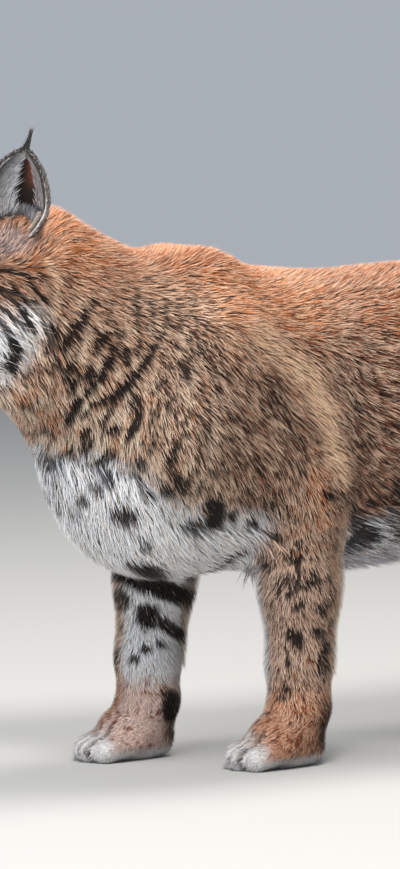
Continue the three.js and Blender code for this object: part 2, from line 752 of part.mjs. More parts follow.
// The nose pad: a rounded wedge, broad above and narrow below, with two nostrils
function noseSolid(grow) {
  const pad = new THREE.SphereGeometry(1, 12, 8).rotateX(Math.PI / 2);
  const corners = pad.getAttribute("position");
  for (let i = 0; i < corners.count; i++)
    corners.setY(i, corners.getY(i) * (0.8 + 0.35 * corners.getZ(i)));
  const size = [NOSE.long, NOSE.wide, NOSE.tall].map((side) => side / 2 + grow);
  const frame = placed(NOSE.x, 0, NOSE.z).multiply(new THREE.Matrix4().makeScale(...size));
  const solid = solidOf(pad, frame);
  if (grow) return solid;
  const holes = onBothSides((s) => {
    const nostril = placed(NOSE.x - NOSE.long / 2 + 2, s * 6.5, NOSE.z, s * 0.7);
    return solidOf(new THREE.SphereGeometry(1, 8, 6), nostril.scale(vec(5, 2, 3)));
  });
  return solid.subtract(holes[0]).subtract(holes[1]);
}

// The line of the mouth, from under the nose back and down along each lip
function mouthGroove() {
  const line = (s) =>
    new THREE.CatmullRomCurve3([
      vec(-112, s * 0.6, MOUTH_Z + 3),
      vec(-107, s * 10, MOUTH_Z - 1),
      vec(-92, s * 27, MOUTH_Z - 5),
      vec(-74, s * 36, MOUTH_Z - 5),
      vec(-60, s * 41, MOUTH_Z - 1),
    ]);
  const sides = 6;
  const radius = 2.4;
  const dent = new THREE.Shape(
    Array.from({ length: sides }, (_, n) => {
      const angle = (2 * Math.PI * n) / sides;
      return new THREE.Vector2(radius * Math.cos(angle), radius * Math.sin(angle));
    }),
  );
  const grooves = onBothSides((s) =>
    solidOf(new THREE.ExtrudeGeometry(dent, { steps: 9, extrudePath: line(s) }), headFrame),
  );
  return grooves[0].add(grooves[1]);
}

// Half the width of an ear at a share of its height: widest at two fifths, with a round tip
function earHalfWidth(v) {
  const widest = 0.4;
  const base = 0.62;
  const share =
    v < widest
      ? base + (1 - base) * Math.sin((Math.PI / 2) * (v / widest))
      : (1 - ((v - widest) / (1 - widest)) ** 1.7) ** 0.62;
  return Math.max((EAR.wide / 2) * share, EAR.thick / 3);
}

// An ear: a cupped leaf as thick as its skin and fur, with its opening towards -X
function earGeometry() {
  const rows = 7;
  const columns = 7;
  const point = (u, v, inner) => {
    const angle = (u * Math.PI) / 2;
    const thick = inner ? EAR.thick * (1 - 0.5 * v) : 0;
    const deep = 5 + EAR.deep * (1 - v) ** 0.8;
    return vec(
      Math.cos(angle) * (deep - thick) + 8 * v * v,
      Math.sin(angle) * Math.max(earHalfWidth(v) - thick, EAR.thick / 8),
      EAR.tall * (v - (inner ? 0.03 * v : 0)),
    );
  };
  const points = [];
  const count = (rows + 1) * (columns + 1);
  for (const inner of [false, true])
    for (let j = 0; j <= rows; j++)
      for (let i = 0; i <= columns; i++)
        points.push(...point((2 * i) / columns - 1, Math.sin((Math.PI / 2) * (j / rows)), inner));
  const at = (i, j, inner) => i + j * (columns + 1) + (inner ? count : 0);
  const faces = [];
  const quad = (a, b, c, d) => faces.push(a, b, c, a, c, d);
  for (let j = 0; j < rows; j++)
    for (let i = 0; i < columns; i++) {
      quad(at(i, j), at(i + 1, j), at(i + 1, j + 1), at(i, j + 1));
      quad(at(i, j, true), at(i, j + 1, true), at(i + 1, j + 1, true), at(i + 1, j, true));
    }
  for (let i = 0; i < columns; i++) {
    quad(at(i, rows), at(i + 1, rows), at(i + 1, rows, true), at(i, rows, true));
    quad(at(i, 0), at(i, 0, true), at(i + 1, 0, true), at(i + 1, 0));
  }
  for (let j = 0; j < rows; j++) {
    quad(at(0, j), at(0, j + 1), at(0, j + 1, true), at(0, j, true));
    quad(at(columns, j), at(columns, j, true), at(columns, j + 1, true), at(columns, j + 1));
  }
  const geometry = new THREE.BufferGeometry();
  geometry.setAttribute("position", new THREE.BufferAttribute(new Float32Array(points), 3));
  geometry.setIndex(faces);
  return geometry;
}

function earFrame(s) {
  const degrees = THREE.MathUtils.degToRad;
  return placed(EAR.x, s * EAR.y, EAR.z).multiply(
    new THREE.Matrix4().makeRotationFromEuler(
      new THREE.Euler(s * -degrees(EAR.lean), 0, s * -degrees(EAR.open), "XYZ"),
    ),
  );
}

function addEars() {
  const crown = meshField((p) => body(p) - 2 * GAP, ...headGrid);
  for (const [name, s] of SIDES) {
    const frame = earFrame(s);
    const outward = vec(1, 0, 0).transformDirection(frame);
    const along = vec(0, 0, 1).transformDirection(frame);
    const stations = [0, 1, 2, 3].map((n) => {
      const rise = (EAR_TUFT.long * n) / 3;
      const at = vec(11 + 0.02 * rise ** 1.7, 0, EAR.tall - 6 + rise).applyMatrix4(frame);
      return { at, along, outward };
    });
    const tuft = lock(stations, EAR_TUFT.wide, EAR_TUFT.thick);
    addNode("ear_" + name, solidOf(earGeometry(), frame).add(tuft).subtract(crown), "ear");
  }
}

addTrunk();
addNeck();
addLegs();
addTail();
addHead();
addEars();

// The part's origin is on the floor, in the middle of its outline seen from above
const room = new THREE.Box3().setFromObject(model);
const middle = room.getCenter(vec(0, 0, 0));
model.position.set(-middle.x, -middle.y, -room.min.z);

export default model;
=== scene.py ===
"""Looks of the red lynx: one skin, a coat of solid tufts, eyes, nose, ears and whiskers.

Shapes are worked out in the body frame: millimetres, +Z up, the animal faces -X, its left side is
-Y. Points are arrays of shape (N, 3). A field is a function of points, negative inside the body and
about the distance in millimetres outside it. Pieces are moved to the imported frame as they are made.
"""

import math

import bpy
import numpy as np
from mathutils import Matrix, Vector
from mathutils.bvhtree import BVHTree


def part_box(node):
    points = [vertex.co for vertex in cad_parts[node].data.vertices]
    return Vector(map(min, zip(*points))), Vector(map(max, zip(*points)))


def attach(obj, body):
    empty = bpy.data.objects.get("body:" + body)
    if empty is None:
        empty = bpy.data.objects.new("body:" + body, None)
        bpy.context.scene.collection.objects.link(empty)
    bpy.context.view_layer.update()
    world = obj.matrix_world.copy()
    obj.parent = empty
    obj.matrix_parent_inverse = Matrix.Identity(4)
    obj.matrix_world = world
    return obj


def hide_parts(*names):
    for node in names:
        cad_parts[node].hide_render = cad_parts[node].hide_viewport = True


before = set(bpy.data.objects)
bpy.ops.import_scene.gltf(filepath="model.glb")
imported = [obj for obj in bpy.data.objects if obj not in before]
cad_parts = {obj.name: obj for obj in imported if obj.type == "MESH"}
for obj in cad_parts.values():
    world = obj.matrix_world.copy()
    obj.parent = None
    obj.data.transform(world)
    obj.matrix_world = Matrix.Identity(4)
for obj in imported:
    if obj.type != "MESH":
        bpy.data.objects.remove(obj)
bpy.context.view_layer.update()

MM = 0.001
SIDES = (("left", -1), ("right", 1))
random = np.random.default_rng(7)

# Trunk masses: centre, half lengths
RIBS = ((70, 0, 318), (178, 101, 137))
CHEST = ((-75, 0, 321), (138, 98, 139))
BRISKET = ((-138, 0, 262), (75, 82, 80))
LOIN = ((200, 0, 335), (140, 92, 123))
RUMP = ((298, 0, 364), (90, 84, 112))
NECK = ((-112, 0, 335), 116, (-256, 0, 430), 83)
NAPE = ((-182, 0, 456), 26, (-236, 0, 480), 36)

# Limbs
FORE_FOOT = {"left": -3, "right": -97}
ELBOW = {"left": -8, "right": -82}
TOES = {"left": 212, "right": 300}
KNEE = {"left": 202, "right": 236}
HOCK_BEHIND_TOES = {"left": 84, "right": 66}
LEG_Y = 58
PAW_LENGTH = 103
TOE_RADIUS = 13
TOE_SPREAD = 11.5
TAIL = (
    ((352, 0, 428), 30),
    ((402, 0, 424), 24),
    ((440, 0, 398), 23),
    ((461, 0, 356), 22),
    ((466, 0, 318), 15),
)

# Head, in its own frame with the nose towards -X
HEAD_CENTRE = np.array((-302.0, 0, 458))
HEAD_TURN = math.radians(8)
HEAD_PITCH = math.radians(-3)
EYE = np.array((-53.0, 28, 6))
EYE_RADIUS = 12.5
EYE_TURN, EYE_TILT = math.radians(20), math.radians(13)
LID_WIDE, LID_TALL, LID_DROP = 22, 11.5, 0.9
NOSE = np.array((-104.0, 0, -21))
MOUTH = ((-111, 0, -32), (-112, 0, -43), (-107, 10, -47), (-93, 26, -53), (-78, 35, -55))
EAR_PLACE = np.array((5.0, 44, 34))
EAR_TALL, EAR_WIDE, EAR_DEEP, EAR_THICK = 75, 60, 30, 4
EAR_LEAN, EAR_OPEN = math.radians(18), math.radians(40)

# Camera of the photograph
PHOTO = (400, 869)
FOCAL_PIXELS = 4348
AZIMUTH, ELEVATION, DISTANCE = math.radians(-30), math.radians(4), 4000
TARGET = np.array((-74.5, 0, 304))

# Colours, as sRGB
RUFOUS = 0xBE7242
DEEP_RUFOUS = 0x8C4826
PALE_RUFOUS = 0xEFBE98
GREY_BROWN = 0x755548
BUFF = 0xBC9680
CREAM = 0xE0C6AE
WHITE = 0xF0EFF0
# BLUE_GREY is painted shade on the white fur of the chest, the belly and the ruff
BLUE_GREY = 0x8C93A4
BLACK = 0x100D0D
TICK_DARK = 0x24150F
TICK_PALE = 0xF4D3B6
IRIS_LIGHT, IRIS_DEEP, IRIS_RIM, PUPIL = 0x7C6530, 0x4A3716, 0x120B07, 0x020202
LID, WHISKER = 0x15100E, 0xF1EEE8
NOSE_SKIN, NOSE_EDGE = 0x754C42, 0x1C1211
EAR_SKIN, EAR_BARE, EAR_EDGE = 0x241C1A, 0x74422F, 0xC4BAB4
EAR_BLACK, EAR_SPOT, EAR_MARGIN, EAR_RIM = 0x1B1514, 0xBDB4AB, 0xA79C97, 0xE4DCD8
EAR_WHITE, EAR_REAR, EAR_BASE, EAR_TUFT = 0xEDEDF2, 0xC4B8B6, 0xA9A7AC, 0x0D0B0B
# How bright a tuft's root is beside its tip: darker hair low in the coat, and painted shade from the
# tufts above
ROOT_UNDERCOAT_AND_SHADE = 0.3


def linear(colour):
    """An sRGB number such as 0xB5784E as linear red, green and blue."""
    share = np.array([colour >> 16 & 255, colour >> 8 & 255, colour & 255]) / 255
    return np.where(share < 0.04045, share / 12.92, ((share + 0.055) / 1.055) ** 2.4)


def ramp(value, start, end):
    """0 at start, 1 at end, and smooth between, with start above or below end."""
    t = np.clip((value - start) / (end - start), 0, 1)
    return t * t * (3 - 2 * t)


def mix(a, b, share):
    share = np.asarray(share)
    if np.ndim(a) == 2 or np.ndim(b) == 2 or np.shape(a) == (3,):
        share = share[:, None]
    return a * (1 - share) + b * share


def unit(v):
    return v / np.maximum(np.linalg.norm(v, axis=-1, keepdims=True), 1e-9)


def noise(p, size, seed=0):
    """Smooth seeded noise from -1 to 1, in bumps about size across."""
    q = p / np.asarray(size, float)
    cell = np.floor(q).astype(np.int64)
    part = q - cell
    part = part * part * (3 - 2 * part)
    total = np.zeros(len(p))
    for corner in range(8):
        step = np.array((corner & 1, corner >> 1 & 1, corner >> 2 & 1))
        a, b, c = (cell + step).T
        mixed = (a * 73856093 ^ b * 19349663 ^ c * 83492791 ^ (seed + 1) * 40503) & 0xFFFFFFFF
        mixed = ((mixed ^ (mixed >> 13)) * 1274126177) & 0xFFFFFFFF
        weight = np.where(step, part, 1 - part).prod(axis=1)
        total += weight * ((mixed ^ (mixed >> 16)) & 0xFFFF)
    return total / 32767.5 - 1


# Fields


def ellipsoid(centre, radii):
    centre, radii = np.float32(centre), np.float32(radii)

    def field(p):
        q = (p - centre) / radii
        near = np.sqrt(np.einsum("ij,ij->i", q, q))
        q /= radii
        steep = np.sqrt(np.einsum("ij,ij->i", q, q))
        return near * (near - 1) / np.maximum(steep, 1e-5)

    return field


def cone(start, start_radius, end, end_radius, narrow=1.0):
    squeeze = np.float32((1, 1 / narrow, 1))
    start = np.float32(start)
    axis = (np.float32(end) - start) * squeeze

    def field(p):
        q = (p - start) * squeeze
        t = np.clip(q @ axis / (axis @ axis), 0, 1)
        q -= t[:, None] * axis
        return np.sqrt(np.einsum("ij,ij->i", q, q)) - start_radius - (end_radius - start_radius) * t

    return field


def smooth_union(a, b, blend):
    h = np.clip(0.5 + 0.5 * (b - a) / blend, 0, 1)
    return a * h + b * (1 - h) - blend * h * (1 - h)


def smooth_cut(a, b, blend):
    return -smooth_union(-a, b, blend)


def masses(*parts):
    """Joins (blend width, field) pairs in order."""

    def field(p):
        total = parts[0][1](p)
        for blend, part in parts[1:]:
            total = smooth_union(total, part(p), blend)
        return total

    return field


def both(make):
    return [make(side) for _, side in SIDES]


def foreleg(name, s):
    foot, elbow, y = FORE_FOOT[name], ELBOW[name], s * LEG_Y
    middle = (elbow + foot) / 2
    return masses(
        (0, cone((elbow - 87, s * 66, 385), 48, (elbow, s * 66, 258), 42)),
        (30, cone((-138, s * 62, 300), 54, (elbow - 8, s * 66, 262), 42)),
        (24, cone((elbow, s * 66, 250), 43, (middle, s * 61, 165), 37)),
        (14, cone((middle, s * 61, 165), 37, (foot, y, 95), 31)),
        (10, cone((foot, y, 95), 31, (foot, y, 54), 29)),
    )


def hindleg(name, s):
    knee, toes = KNEE[name], TOES[name]
    hock, y = toes + HOCK_BEHIND_TOES[name], s * LEG_Y
    return masses(
        (0, cone((268, s * 40, 376), 84, (knee, s * 62, 262), 50, 0.8)),
        (40, cone((328, s * 46, 360), 56, (hock - 10, s * 58, 196), 27, 0.95)),
        (26, cone((knee + 2, s * 62, 250), 46, (hock - 4, y, 138), 24)),
        (10, cone((hock + 4, y, 144), 17, (hock, y, 120), 21)),
        (12, cone((hock, y, 126), 22, (toes + 62, y, 62), 22)),
        (8, cone((toes + 62, y, 62), 22, (toes + 52, y, 40), 25)),
    )


def paw(x, s, long):
    y, front = s * LEG_Y, x + 26 - long + TOE_RADIUS
    toes = []
    for place in (-1.5, -0.5, 0.5, 1.5):
        back = 9 if abs(place) > 1 else 0
        start = (front + 30 + back, y + place * TOE_SPREAD, 19)
        end = (front + back, y + place * TOE_SPREAD * 1.06, TOE_RADIUS - 3)
        toes.append((3.5, cone(start, TOE_RADIUS + 2, end, TOE_RADIUS)))
    return masses(
        (0, cone((x + 1, y, 52), 28, (x - 16, y, 26), 28)),
        (12, cone((x + 4, y, 19), 22, (front + 34, y, 20), 26)),
        *toes,
    )


head_turn = np.array(Matrix.Rotation(HEAD_TURN, 3, "Z") @ Matrix.Rotation(HEAD_PITCH, 3, "Y"))


def to_head(p):
    return (p - np.float32(HEAD_CENTRE)) @ np.float32(head_turn)


def from_head(p):
    return np.asarray(p, float) @ head_turn.T + HEAD_CENTRE


def head_form():
    solid = masses(
        (0, ellipsoid((0, 0, 0), (60, 56, 57))),
        (18, ellipsoid((-34, 0, 12), (37, 42, 36))),
        (10, cone((-54, 0, 6), 26, (-95, 0, -20), 13.5, 0.78)),
        (12, ellipsoid((-70, 0, -32), (32, 37, 27))),
        *both(lambda s: (5, ellipsoid((-89, s * 15, -36), (23, 18.5, 16.5)))),
        (8, ellipsoid((-88, 0, -55), (18, 19, 14))),
        *both(lambda s: (14, cone((-80, s * 12, -52), 14, (-20, s * 34, -46), 30))),
        *both(lambda s: (16, ellipsoid((-30, s * 37, -14), (34, 26, 34)))),
        *both(lambda s: (10, cone((-55, s * 20, 26), 8, (-32, s * 39, 22), 12))),
        *both(lambda s: (22, ellipsoid((-2, s * 44, -32), (34, 25, 42)))),
        *both(lambda s: (14, cone((14, s * 32, 20), 26, (18, s * 42, 34), 14))),
    )
    hollows = both(lambda s: ellipsoid(EYE * (1, s, 1) + (-13, s, 0), (11, 14, 10)))

    def field(p):
        total = solid(p)
        for hollow in hollows:
            total = smooth_cut(total, hollow(p), 6)
        return total

    return field


head_local = head_form()
forelegs = [foreleg(name, s) for name, s in SIDES]
hindlegs = [hindleg(name, s) for name, s in SIDES]
paws = [paw(FORE_FOOT[name], s, PAW_LENGTH) for name, s in SIDES]
paws += [paw(TOES[name] + 52, s, PAW_LENGTH + 2) for name, s in SIDES]
shoulders = both(lambda s: (30, cone((-92, s * 34, 438), 40, (-132, s * 66, 320), 52)))
trunk = masses(
    (0, ellipsoid(*RIBS)),
    (60, ellipsoid(*CHEST)),
    (50, ellipsoid(*BRISKET)),
    (60, ellipsoid(*LOIN)),
    (50, ellipsoid(*RUMP)),
    *shoulders,
)
tail = masses(*[(10, cone(*a, *b)) for a, b in zip(TAIL, TAIL[1:])])
body = masses(
    (0, trunk),
    (46, cone(*NECK, 0.9)),
    (18, cone(*NAPE)),
    *[(22, leg) for leg in forelegs],
    *[(24, leg) for leg in hindlegs],
    *[(10, foot) for foot in paws],
    (16, tail),
    (18, lambda p: head_local(to_head(p))),
)


def lower_leg(name, s):
    """The short-coated parts of the legs on one side."""
    foot, elbow, toes = FORE_FOOT[name], ELBOW[name], TOES[name]
    hock = toes + HOCK_BEHIND_TOES[name]
    return masses(
        (0, cone((elbow, s * 66, 215), 36, (foot, s * LEG_Y, 95), 31)),
        (1, cone((foot, s * LEG_Y, 95), 31, (foot - 40, s * LEG_Y, 15), 30)),
        (1, cone((hock - 40, s * 62, 195), 30, (hock, s * LEG_Y, 120), 22)),
        (1, cone((hock, s * LEG_Y, 120), 22, (toes + 52, s * LEG_Y, 30), 25)),
        (1, cone((toes + 62, s * LEG_Y, 20), 25, (toes, s * LEG_Y, 15), 28)),
    )


lower_legs = masses(*[(1, lower_leg(name, s)) for name, s in SIDES])


def legness(p):
    return np.maximum(ramp(lower_legs(p), 16, 0), ramp(p[:, 2], 158, 145))


def limb_place(p):
    """Where points lie from the foot of their own quarter: forwards of it, and out from its middle."""
    x, y, _ = p.T
    left, hind = y < 0, x > 110
    foot = np.where(left, FORE_FOOT["left"], FORE_FOOT["right"])
    hind_foot = np.where(left, TOES["left"], TOES["right"]) + 52
    return np.where(hind, hind_foot, foot) - x, np.abs(y) - LEG_Y


def toe_splits(p):
    """1 in the grooves between the toes, 0 off them."""
    forward, out = limb_place(p)
    near = np.abs(out[:, None] - TOE_SPREAD * np.array((-1.0, 0, 1.0))).min(1)
    share = ramp(near, 3.2, 0.4) * ramp(forward, 32, 48) * ramp(p[:, 2], 40, 30)
    return share.astype(np.float32)


def outline(p):
    """Field of the coat's outline: the body with the toes parted."""
    total = body(p)
    low = p[:, 2] < 42
    total[low] += 4.2 * toe_splits(p[low])
    return total


def headness(p):
    """1 in front of the cut between head and neck, 0 behind it."""
    return ramp(-0.93 * (p[:, 0] + 262) + 0.36 * (p[:, 2] - 432), -14, 10)


def coat_depth(p):
    """How deep the skin lies under the outline of the coat."""
    x, y, z = p.T
    middle = ramp(np.abs(y), 92, 50)
    depth = 6.5 + 9.5 * middle * ramp(z, 330, 230)
    depth = depth + (8 - depth) * ramp(x, -120, -200) * ramp(z, 330, 370)
    depth = depth + (6 - depth) * ramp(x, 360, 400)
    leg = legness(p)
    depth = depth + (2.2 + 2.3 * ramp(z, 55, 120) - depth) * leg
    h = to_head(p)
    face = 1.8 + 2.2 * ramp(h[:, 0], -78, -35) + 3.5 * ramp(h[:, 0], -30, 30)
    face = face + 7 * ramp(h[:, 2], 5, -30) * ramp(h[:, 0], -35, 0)
    return depth + (face - depth) * headness(p)


mouth_line = masses(
    *[
        (1, cone(np.multiply(a, (1, s, 1)), 1.6, np.multiply(b, (1, s, 1)), 1.6))
        for _, s in SIDES
        for a, b in zip(MOUTH, MOUTH[1:])
    ]
)


def skin_field(p):
    total = outline(p) + coat_depth(p)
    near = headness(p) > 0
    q = to_head(p[near])
    face = smooth_cut(total[near], mouth_line(q), 1.5)
    for _, s in SIDES:
        e = to_eye(q, s)
        ball = np.sqrt((e**2).sum(1))
        face = smooth_union(face, ball - EYE_RADIUS - 2.0, 4)
        face = smooth_cut(face, np.maximum(almond(e), e[:, 0] - 2), 1)
        face = np.maximum(face, EYE_RADIUS + 0.3 - ball)
    total[near] = face
    return total


def eye_turn(s):
    turn = Matrix.Rotation(-s * EYE_TURN, 3, "Z") @ Matrix.Rotation(s * EYE_TILT, 3, "X")
    return np.array(turn)


def to_eye(q, s):
    """Points of the head's frame in the frame of the eye on side s."""
    return (q - np.float32(EYE * (1, s, 1))) @ np.float32(eye_turn(s))


def almond(e):
    """Field of the opening between the lids, in the frame of an eye."""
    radius = (LID_WIDE**2 + LID_TALL**2) / (4 * LID_TALL)
    lift = radius - LID_TALL / 2
    y, z = e[:, 1], np.abs(e[:, 2] + LID_DROP)
    return np.sqrt(y**2 + (z + lift) ** 2) - radius


def slope(field, p, h=0.6):
    """The field's gradient, from four places round each point."""
    total = 0
    for corner in ((1, 1, 1), (1, -1, -1), (-1, 1, -1), (-1, -1, 1)):
        corner = np.float32(corner)
        total = total + field(p + h * corner)[:, None] * corner
    return total / (4 * h)


def axis_places(*stretches):
    """Grid places over stretches (start, end, step) that follow each other."""
    places = [np.arange(start, end, step) for start, end, step in stretches]
    return np.float32(np.concatenate(places))


def sampled(field, axes, reach=26):
    """Field values on a grid. Far from the surface they come from every fourth grid place."""
    coarse = [np.append(places[::4], places[-1]) for places in axes]
    rough = on_grid(field, coarse).reshape([len(c) for c in coarse])
    nearest = [np.minimum((np.arange(len(a)) + 2) // 4, len(c) - 1) for a, c in zip(axes, coarse)]
    values = rough[np.ix_(*nearest)].copy()
    near = np.abs(values) < reach
    i, j, k = np.nonzero(near)
    points = np.stack([axes[0][i], axes[1][j], axes[2][k]], axis=1)
    values[near] = np.concatenate([field(part) for part in np.array_split(points, 8)])
    return values


def on_grid(field, axes):
    grid = np.stack(np.meshgrid(*axes, indexing="ij"), axis=-1).reshape(-1, 3)
    return field(grid)


def surface(field, axes, values=None):
    """The field's surface as points and four-sided faces, one point in each cell it crosses."""
    values = sampled(field, axes) if values is None else values
    inside = values < 0
    shape = np.array(values.shape) - 1
    crossings = np.zeros(shape, np.int32)
    place = np.zeros((*shape, 3), np.float32)

    def corner(a, at):
        return a[tuple(slice(o, o + n) for o, n in zip(at, shape))]

    corners = [(n & 1, n >> 1 & 1, n >> 2 & 1) for n in range(8)]
    for a in corners:
        for axis in range(3):
            if a[axis]:
                continue
            b = tuple(v + (n == axis) for n, v in enumerate(a))
            va, vb = corner(values, a), corner(values, b)
            crossed = corner(inside, a) != corner(inside, b)
            t = np.where(crossed, va / np.where(crossed, va - vb, 1), 0)
            crossings += crossed
            for n in range(3):
                place[..., n] += crossed * a[n] + (t if n == axis else 0)
    active = crossings > 0
    cell = np.argwhere(active)
    share = place[active] / crossings[active][:, None]
    low = np.stack([axes[n][cell[:, n]] for n in range(3)], axis=1)
    high = np.stack([axes[n][cell[:, n] + 1] for n in range(3)], axis=1)
    points = low + (high - low) * share
    number = np.full(shape, -1)
    number[active] = np.arange(len(points))
    faces = []
    for axis in range(3):
        one, two = (axis + 1) % 3, (axis + 2) % 3
        first = tuple(slice(1, -1) if n != axis else slice(0, -1) for n in range(3))
        second = tuple(slice(1, -1) if n != axis else slice(1, None) for n in range(3))
        here = inside[first]
        at = np.argwhere(here != inside[second])
        outward = here[tuple(at.T)]
        at = at + [0 if n == axis else 1 for n in range(3)]
        quad = []
        for back_one, back_two in ((0, 0), (1, 0), (1, 1), (0, 1)):
            c = at.copy()
            c[:, one] -= back_one
            c[:, two] -= back_two
            quad.append(number[tuple(c.T)])
        quad = np.stack(quad, axis=1)
        quad[~outward] = quad[~outward][:, ::-1]
        faces.append(quad)
    points = points.astype(np.float32)
    for _ in range(2):
        steep = slope(field, points)
        off = field(points) / np.maximum((steep**2).sum(1), 0.25)
        points -= steep * np.clip(off, -1, 1)[:, None]
    return points, np.concatenate(faces)


# Meshes and materials

eye_box = [np.array(corner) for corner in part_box("eye_left")]
frame_shift = (eye_box[0] + eye_box[1]) / 2 - from_head(EYE * (1, -1, 1)) * MM
frame_shift[2] = 0


def make_piece(name, points, faces, material, normals=None, colours=None, uv=None):
    """A smooth mesh object that rides on the body, from points in the body frame."""
    mesh = bpy.data.meshes.new(name)
    count, sides = faces.shape
    mesh.vertices.add(len(points))
    mesh.vertices.foreach_set("co", np.float32(points * MM + frame_shift).ravel())
    mesh.loops.add(count * sides)
    mesh.loops.foreach_set("vertex_index", faces.astype(np.int32).ravel())
    mesh.polygons.add(count)
    mesh.polygons.foreach_set("loop_start", np.arange(0, count * sides, sides, dtype=np.int32))
    mesh.update(calc_edges=True)
    mesh.shade_smooth()
    if colours is not None:
        layer = mesh.color_attributes.new("Coat", "FLOAT_COLOR", "POINT")
        layer.data.foreach_set("color", np.float32(np.c_[colours, np.ones(len(points))]).ravel())
    if uv is not None:
        for layer_name, places in uv.items():
            layer = mesh.uv_layers.new(name=layer_name)
            layer.data.foreach_set("uv", np.float32(places[faces.ravel()]).ravel())
    if normals is not None:
        mesh.normals_split_custom_set_from_vertices(np.float32(normals))
    piece = bpy.data.objects.new(name, mesh)
    bpy.context.scene.collection.objects.link(piece)
    mesh.materials.append(material)
    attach(piece, "root")
    return piece


def new_material(name, roughness, specular=0.3):
    material = bpy.data.materials.new(name)
    material.use_nodes = True
    tree = material.node_tree
    shader = tree.nodes["Principled BSDF"]
    shader.inputs["Roughness"].default_value = roughness
    shader.inputs["Specular IOR Level"].default_value = specular
    return material, tree, shader


def painted_colour(tree):
    node = tree.nodes.new("ShaderNodeAttribute")
    node.attribute_name = "Coat"
    return node.outputs["Color"]


def varied(tree, colour, coordinates, scale, low, high, detail=2):
    """The colour times noise between low and high."""
    field = tree.nodes.new("ShaderNodeTexNoise")
    field.inputs["Scale"].default_value = scale
    field.inputs["Detail"].default_value = detail
    tree.links.new(coordinates, field.inputs["Vector"])
    spread = tree.nodes.new("ShaderNodeMapRange")
    spread.inputs["From Min"].default_value = 0.3
    spread.inputs["From Max"].default_value = 0.7
    spread.inputs["To Min"].default_value = low
    spread.inputs["To Max"].default_value = high
    tree.links.new(field.outputs["Fac"], spread.inputs["Value"])
    scaled = tree.nodes.new("ShaderNodeVectorMath")
    scaled.operation = "SCALE"
    tree.links.new(colour, scaled.inputs[0])
    tree.links.new(spread.outputs["Result"], scaled.inputs["Scale"])
    return scaled.outputs["Vector"], field.outputs["Fac"]


def add_bump(tree, shader, height, distance, strength):
    bump = tree.nodes.new("ShaderNodeBump")
    bump.inputs["Distance"].default_value = distance
    bump.inputs["Strength"].default_value = strength
    tree.links.new(height, bump.inputs["Height"])
    tree.links.new(bump.outputs["Normal"], shader.inputs["Normal"])


def fur_material(name):
    """Painted tufts with fine strands along them."""
    material, tree, shader = new_material(name, 0.62, 0.22)
    strands = tree.nodes.new("ShaderNodeUVMap")
    strands.uv_map = "Strands"
    colour, height = varied(tree, painted_colour(tree), strands.outputs["UV"], 4, 0.78, 1.22, 1)
    tree.links.new(colour, shader.inputs["Base Color"])
    add_bump(tree, shader, height, 0.0004, 0.35)
    shader.inputs["Sheen Weight"].default_value = 0.08
    return material


def painted_material(name, roughness, specular, grain, bump=None):
    """Painted skin with noise over it. grain is (scale, low, high, detail), bump (distance, strength)."""
    material, tree, shader = new_material(name, roughness, specular)
    place = tree.nodes.new("ShaderNodeTexCoord")
    colour, height = varied(tree, painted_colour(tree), place.outputs["Object"], *grain)
    tree.links.new(colour, shader.inputs["Base Color"])
    if bump:
        add_bump(tree, shader, height, *bump)
    return material


# Camera geometry

back = np.array(
    (
        math.sin(AZIMUTH) * math.cos(ELEVATION),
        -math.cos(AZIMUTH) * math.cos(ELEVATION),
        math.sin(ELEVATION),
    )
)
photo_right = np.array((math.cos(AZIMUTH), math.sin(AZIMUTH), 0))
photo_up = np.cross(back, photo_right)
eye_point = TARGET + back * DISTANCE


def photo_ray(x, y):
    """The direction of a photograph's pixel from the camera."""
    across = (x - PHOTO[0] / 2) / FOCAL_PIXELS
    up = (PHOTO[1] / 2 - y) / FOCAL_PIXELS
    return unit(-back + photo_right * across + photo_up * up)


# The skin

SKIN_AXES = (
    axis_places((-436, -236, 2.4), (-236, 490, 4.4)),
    axis_places((-138, 139, 2.9)),
    axis_places((-8, 110, 3.1), (110, 345, 4.4), (345, 545, 2.6)),
)
skin_points, skin_faces = surface(skin_field, SKIN_AXES)
skin_points[:, 2] = np.maximum(skin_points[:, 2], 0.4)
skin_tree = BVHTree.FromPolygons(skin_points.tolist(), skin_faces.tolist())


# Markings

